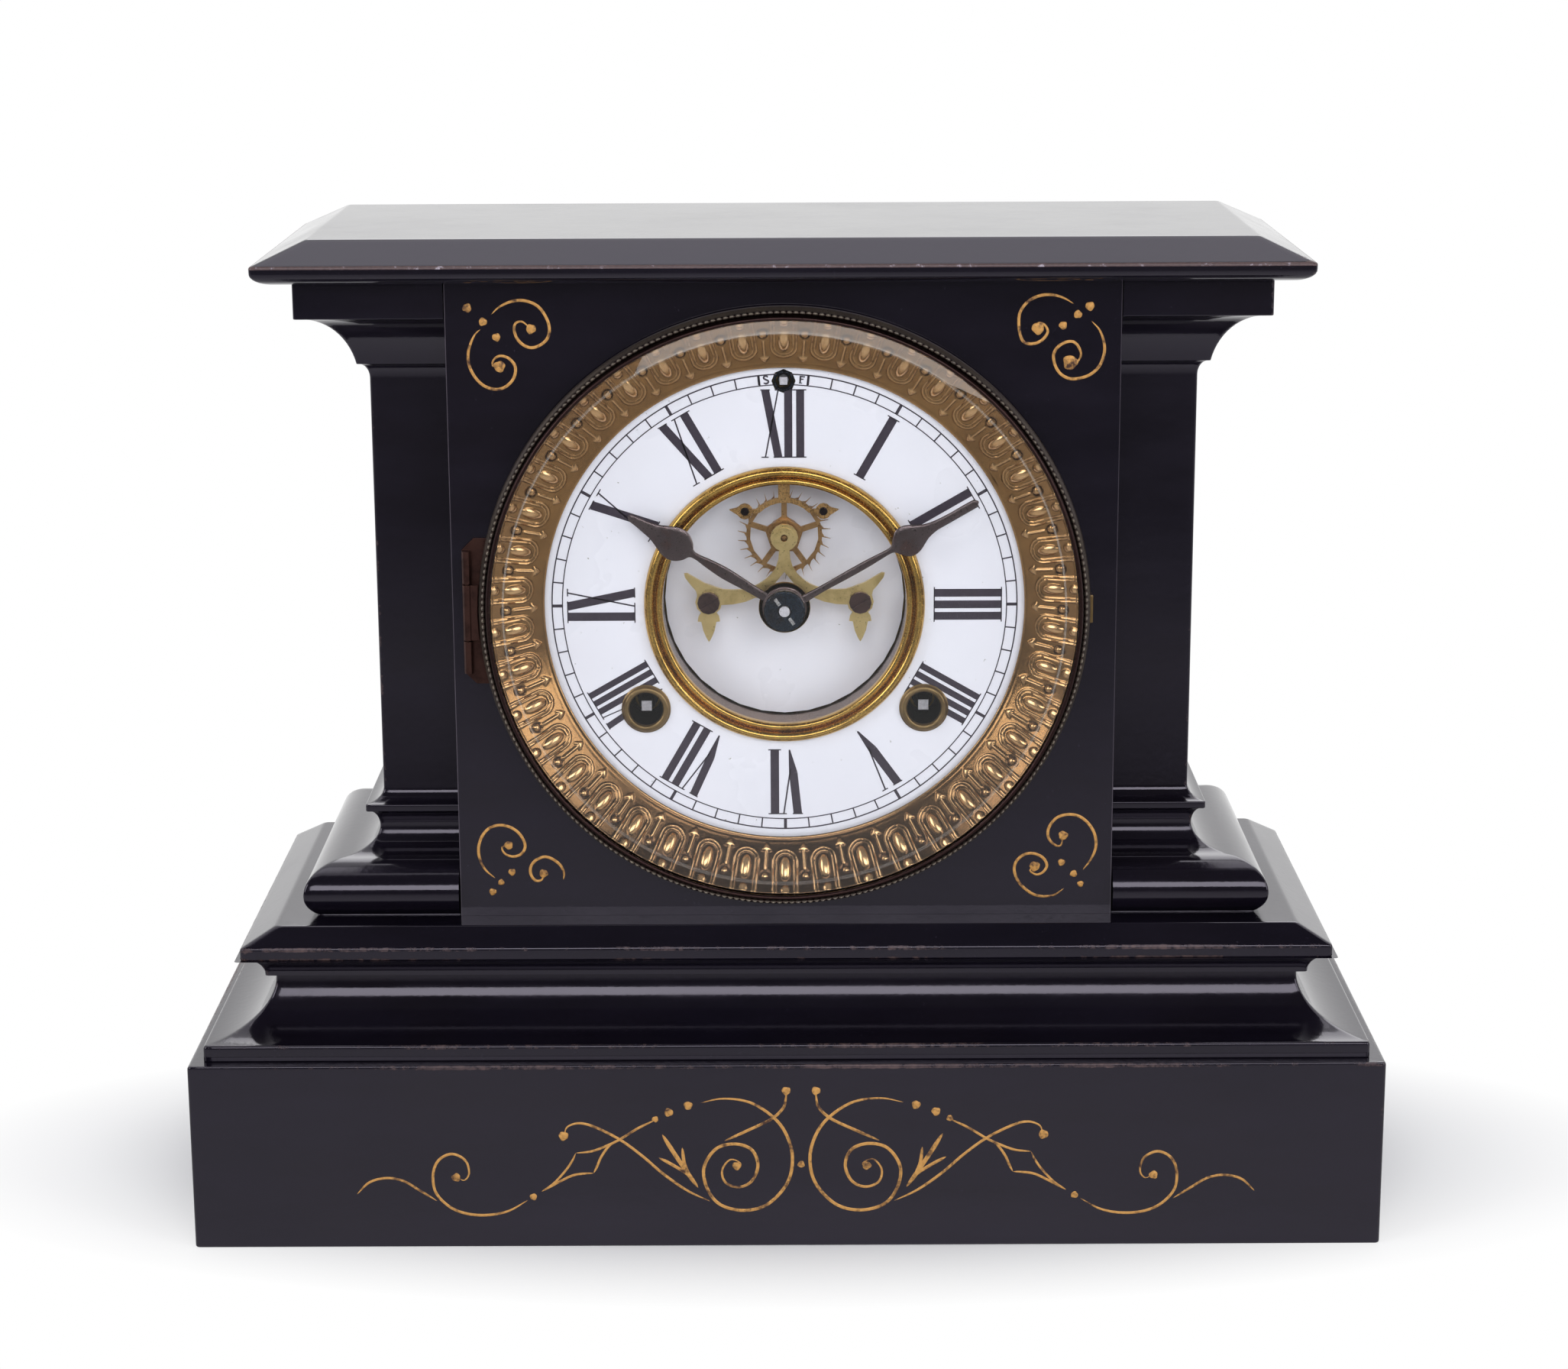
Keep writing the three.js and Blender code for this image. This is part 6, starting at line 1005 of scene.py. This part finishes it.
feed(shader, {"Base Color": add("Mix", {0: rivet_part, 6: clean, 7: "#2a2024"})})
ease("verge", 0.06, anchor_brass, 1, 40)
screw_steel = metal("browned_screw_steel", "#6f5a58", "#43373a", "#2a2226", 0.34, 4.0)
for screw in ("left_bridge_screw", "right_bridge_screw"):
    ease(screw, 0.15, screw_steel, 2, 40)


# Movement inside the case: brass plates and wheels, steel arbors, springs and pins. None of it shows from the
# front, but it shows through the back door and when the dial's well is looked into.
train_brass = metal("worn_clock_brass", "#c2a05a", "#9c7c40", "#5e4a28", 0.3, 14.0)
for brass_part in ("front_plate", "back_plate"):
    ease(brass_part, 0.2, train_brass, 1, 50)
for wheel in ("time_great_wheel", "strike_great_wheel", "time_second_wheel", "strike_second_wheel",
              "centre_wheel", "third_wheel", "strike_third_wheel", "warning_wheel", "fly", "minute_wheel",
              "hour_wheel"):
    ease(wheel, 0, wheel_brass)
spring_steel = metal("blue_tempered_spring_steel", "#5b6676", "#3a424e", "#4a3a2c", 0.24, 8.0)
for spring in ("time_mainspring", "strike_mainspring", "suspension_spring"):
    ease(spring, 0, spring_steel)
aged_steel = metal("oxidised_grey_steel", "#8a8782", "#5f5a54", "#5b3a26", 0.38, 3.0)
for steel_part in ("left_tie_rod", "right_tie_rod", "regulator_slide", "suspension_post",
                   "pendulum_rod", "strike_hammer"):
    ease(steel_part, 0.12, aged_steel, 1, 50)
ease("gong_stand", 0.3, enamel, 2, 50)


# Pendulum bob: a lens of brass sheet over lead, spun and polished, with the eye that holds it on its rod above
# and the rating nut below.
bob_radius, bob_half, bob_behind, bob_height = 19, 4.2, 23, 51.2
bob_section = [(bob_radius * math.sin(a), bob_half * math.cos(a) - bob_behind) for a in np.linspace(0, math.pi, 26)]
bob_round = full_turn(28)
bob_grids = [(turned(bob_section, 72, 0, bob_height - dial_height), (True, False))]
for fitting_rows in ([(0, 65.2), (2.2, 65.2), (2.2, 75.0), (1.9, 75.2), (0, 75.2)],
                     [(0, 33.0), (1.1, 33.0), (1.1, 29.6), (2.6, 29.6), (2.6, 27.8), (1.1, 27.8), (1.1, 26.6),
                      (0, 26.6)]):
    reach, rise = np.array(fitting_rows, float).T
    bob_grids.append((np.stack([reach * np.cos(bob_round), bob_behind + reach * np.sin(bob_round),
                                rise + 0 * bob_round], -1), (True, False)))
settle(surface("lens_bob", bob_grids, sharp=60), polished_brass, "pendulum", "brass", "pendulum_bob")


# Coil gong: a flat spiral of tempered blue steel strip, 1.2 x 3.5 mm, with its edges drawn round. Its radius
# grows evenly from 7 to 32 mm over four turns.
gong_inner, gong_outer, gong_below = 7, 32, 42
gong_turn = np.linspace(math.pi, 9 * math.pi, 289)[:, None]
gong_section = np.array([(-0.6, 28.25), (-0.35, 28), (0.35, 28), (0.6, 28.25), (0.6, 31.25), (0.35, 31.5),
                         (-0.35, 31.5), (-0.6, 31.25)])
gong_share = np.linspace(0, 1, len(gong_turn))[:, None]
gong_reach = gong_inner + (gong_outer - gong_inner) * gong_share + gong_section[:, 0]
gong_line = np.stack([gong_reach * np.cos(gong_turn), gong_section[:, 1] + 0 * gong_turn,
                      dial_height - gong_below + gong_reach * np.sin(gong_turn)], -1)
settle(surface("coil_gong_strip", [closed_run(gong_line)]), spring_steel, "case", "blued_steel", "coil_gong")


# Back door: a round cover of japanned sheet iron with a small knob, enamelled black like the case. The CAD
# solid stays, with eased arrises.
ease("back_door", 0.25, enamel, 2, 40)
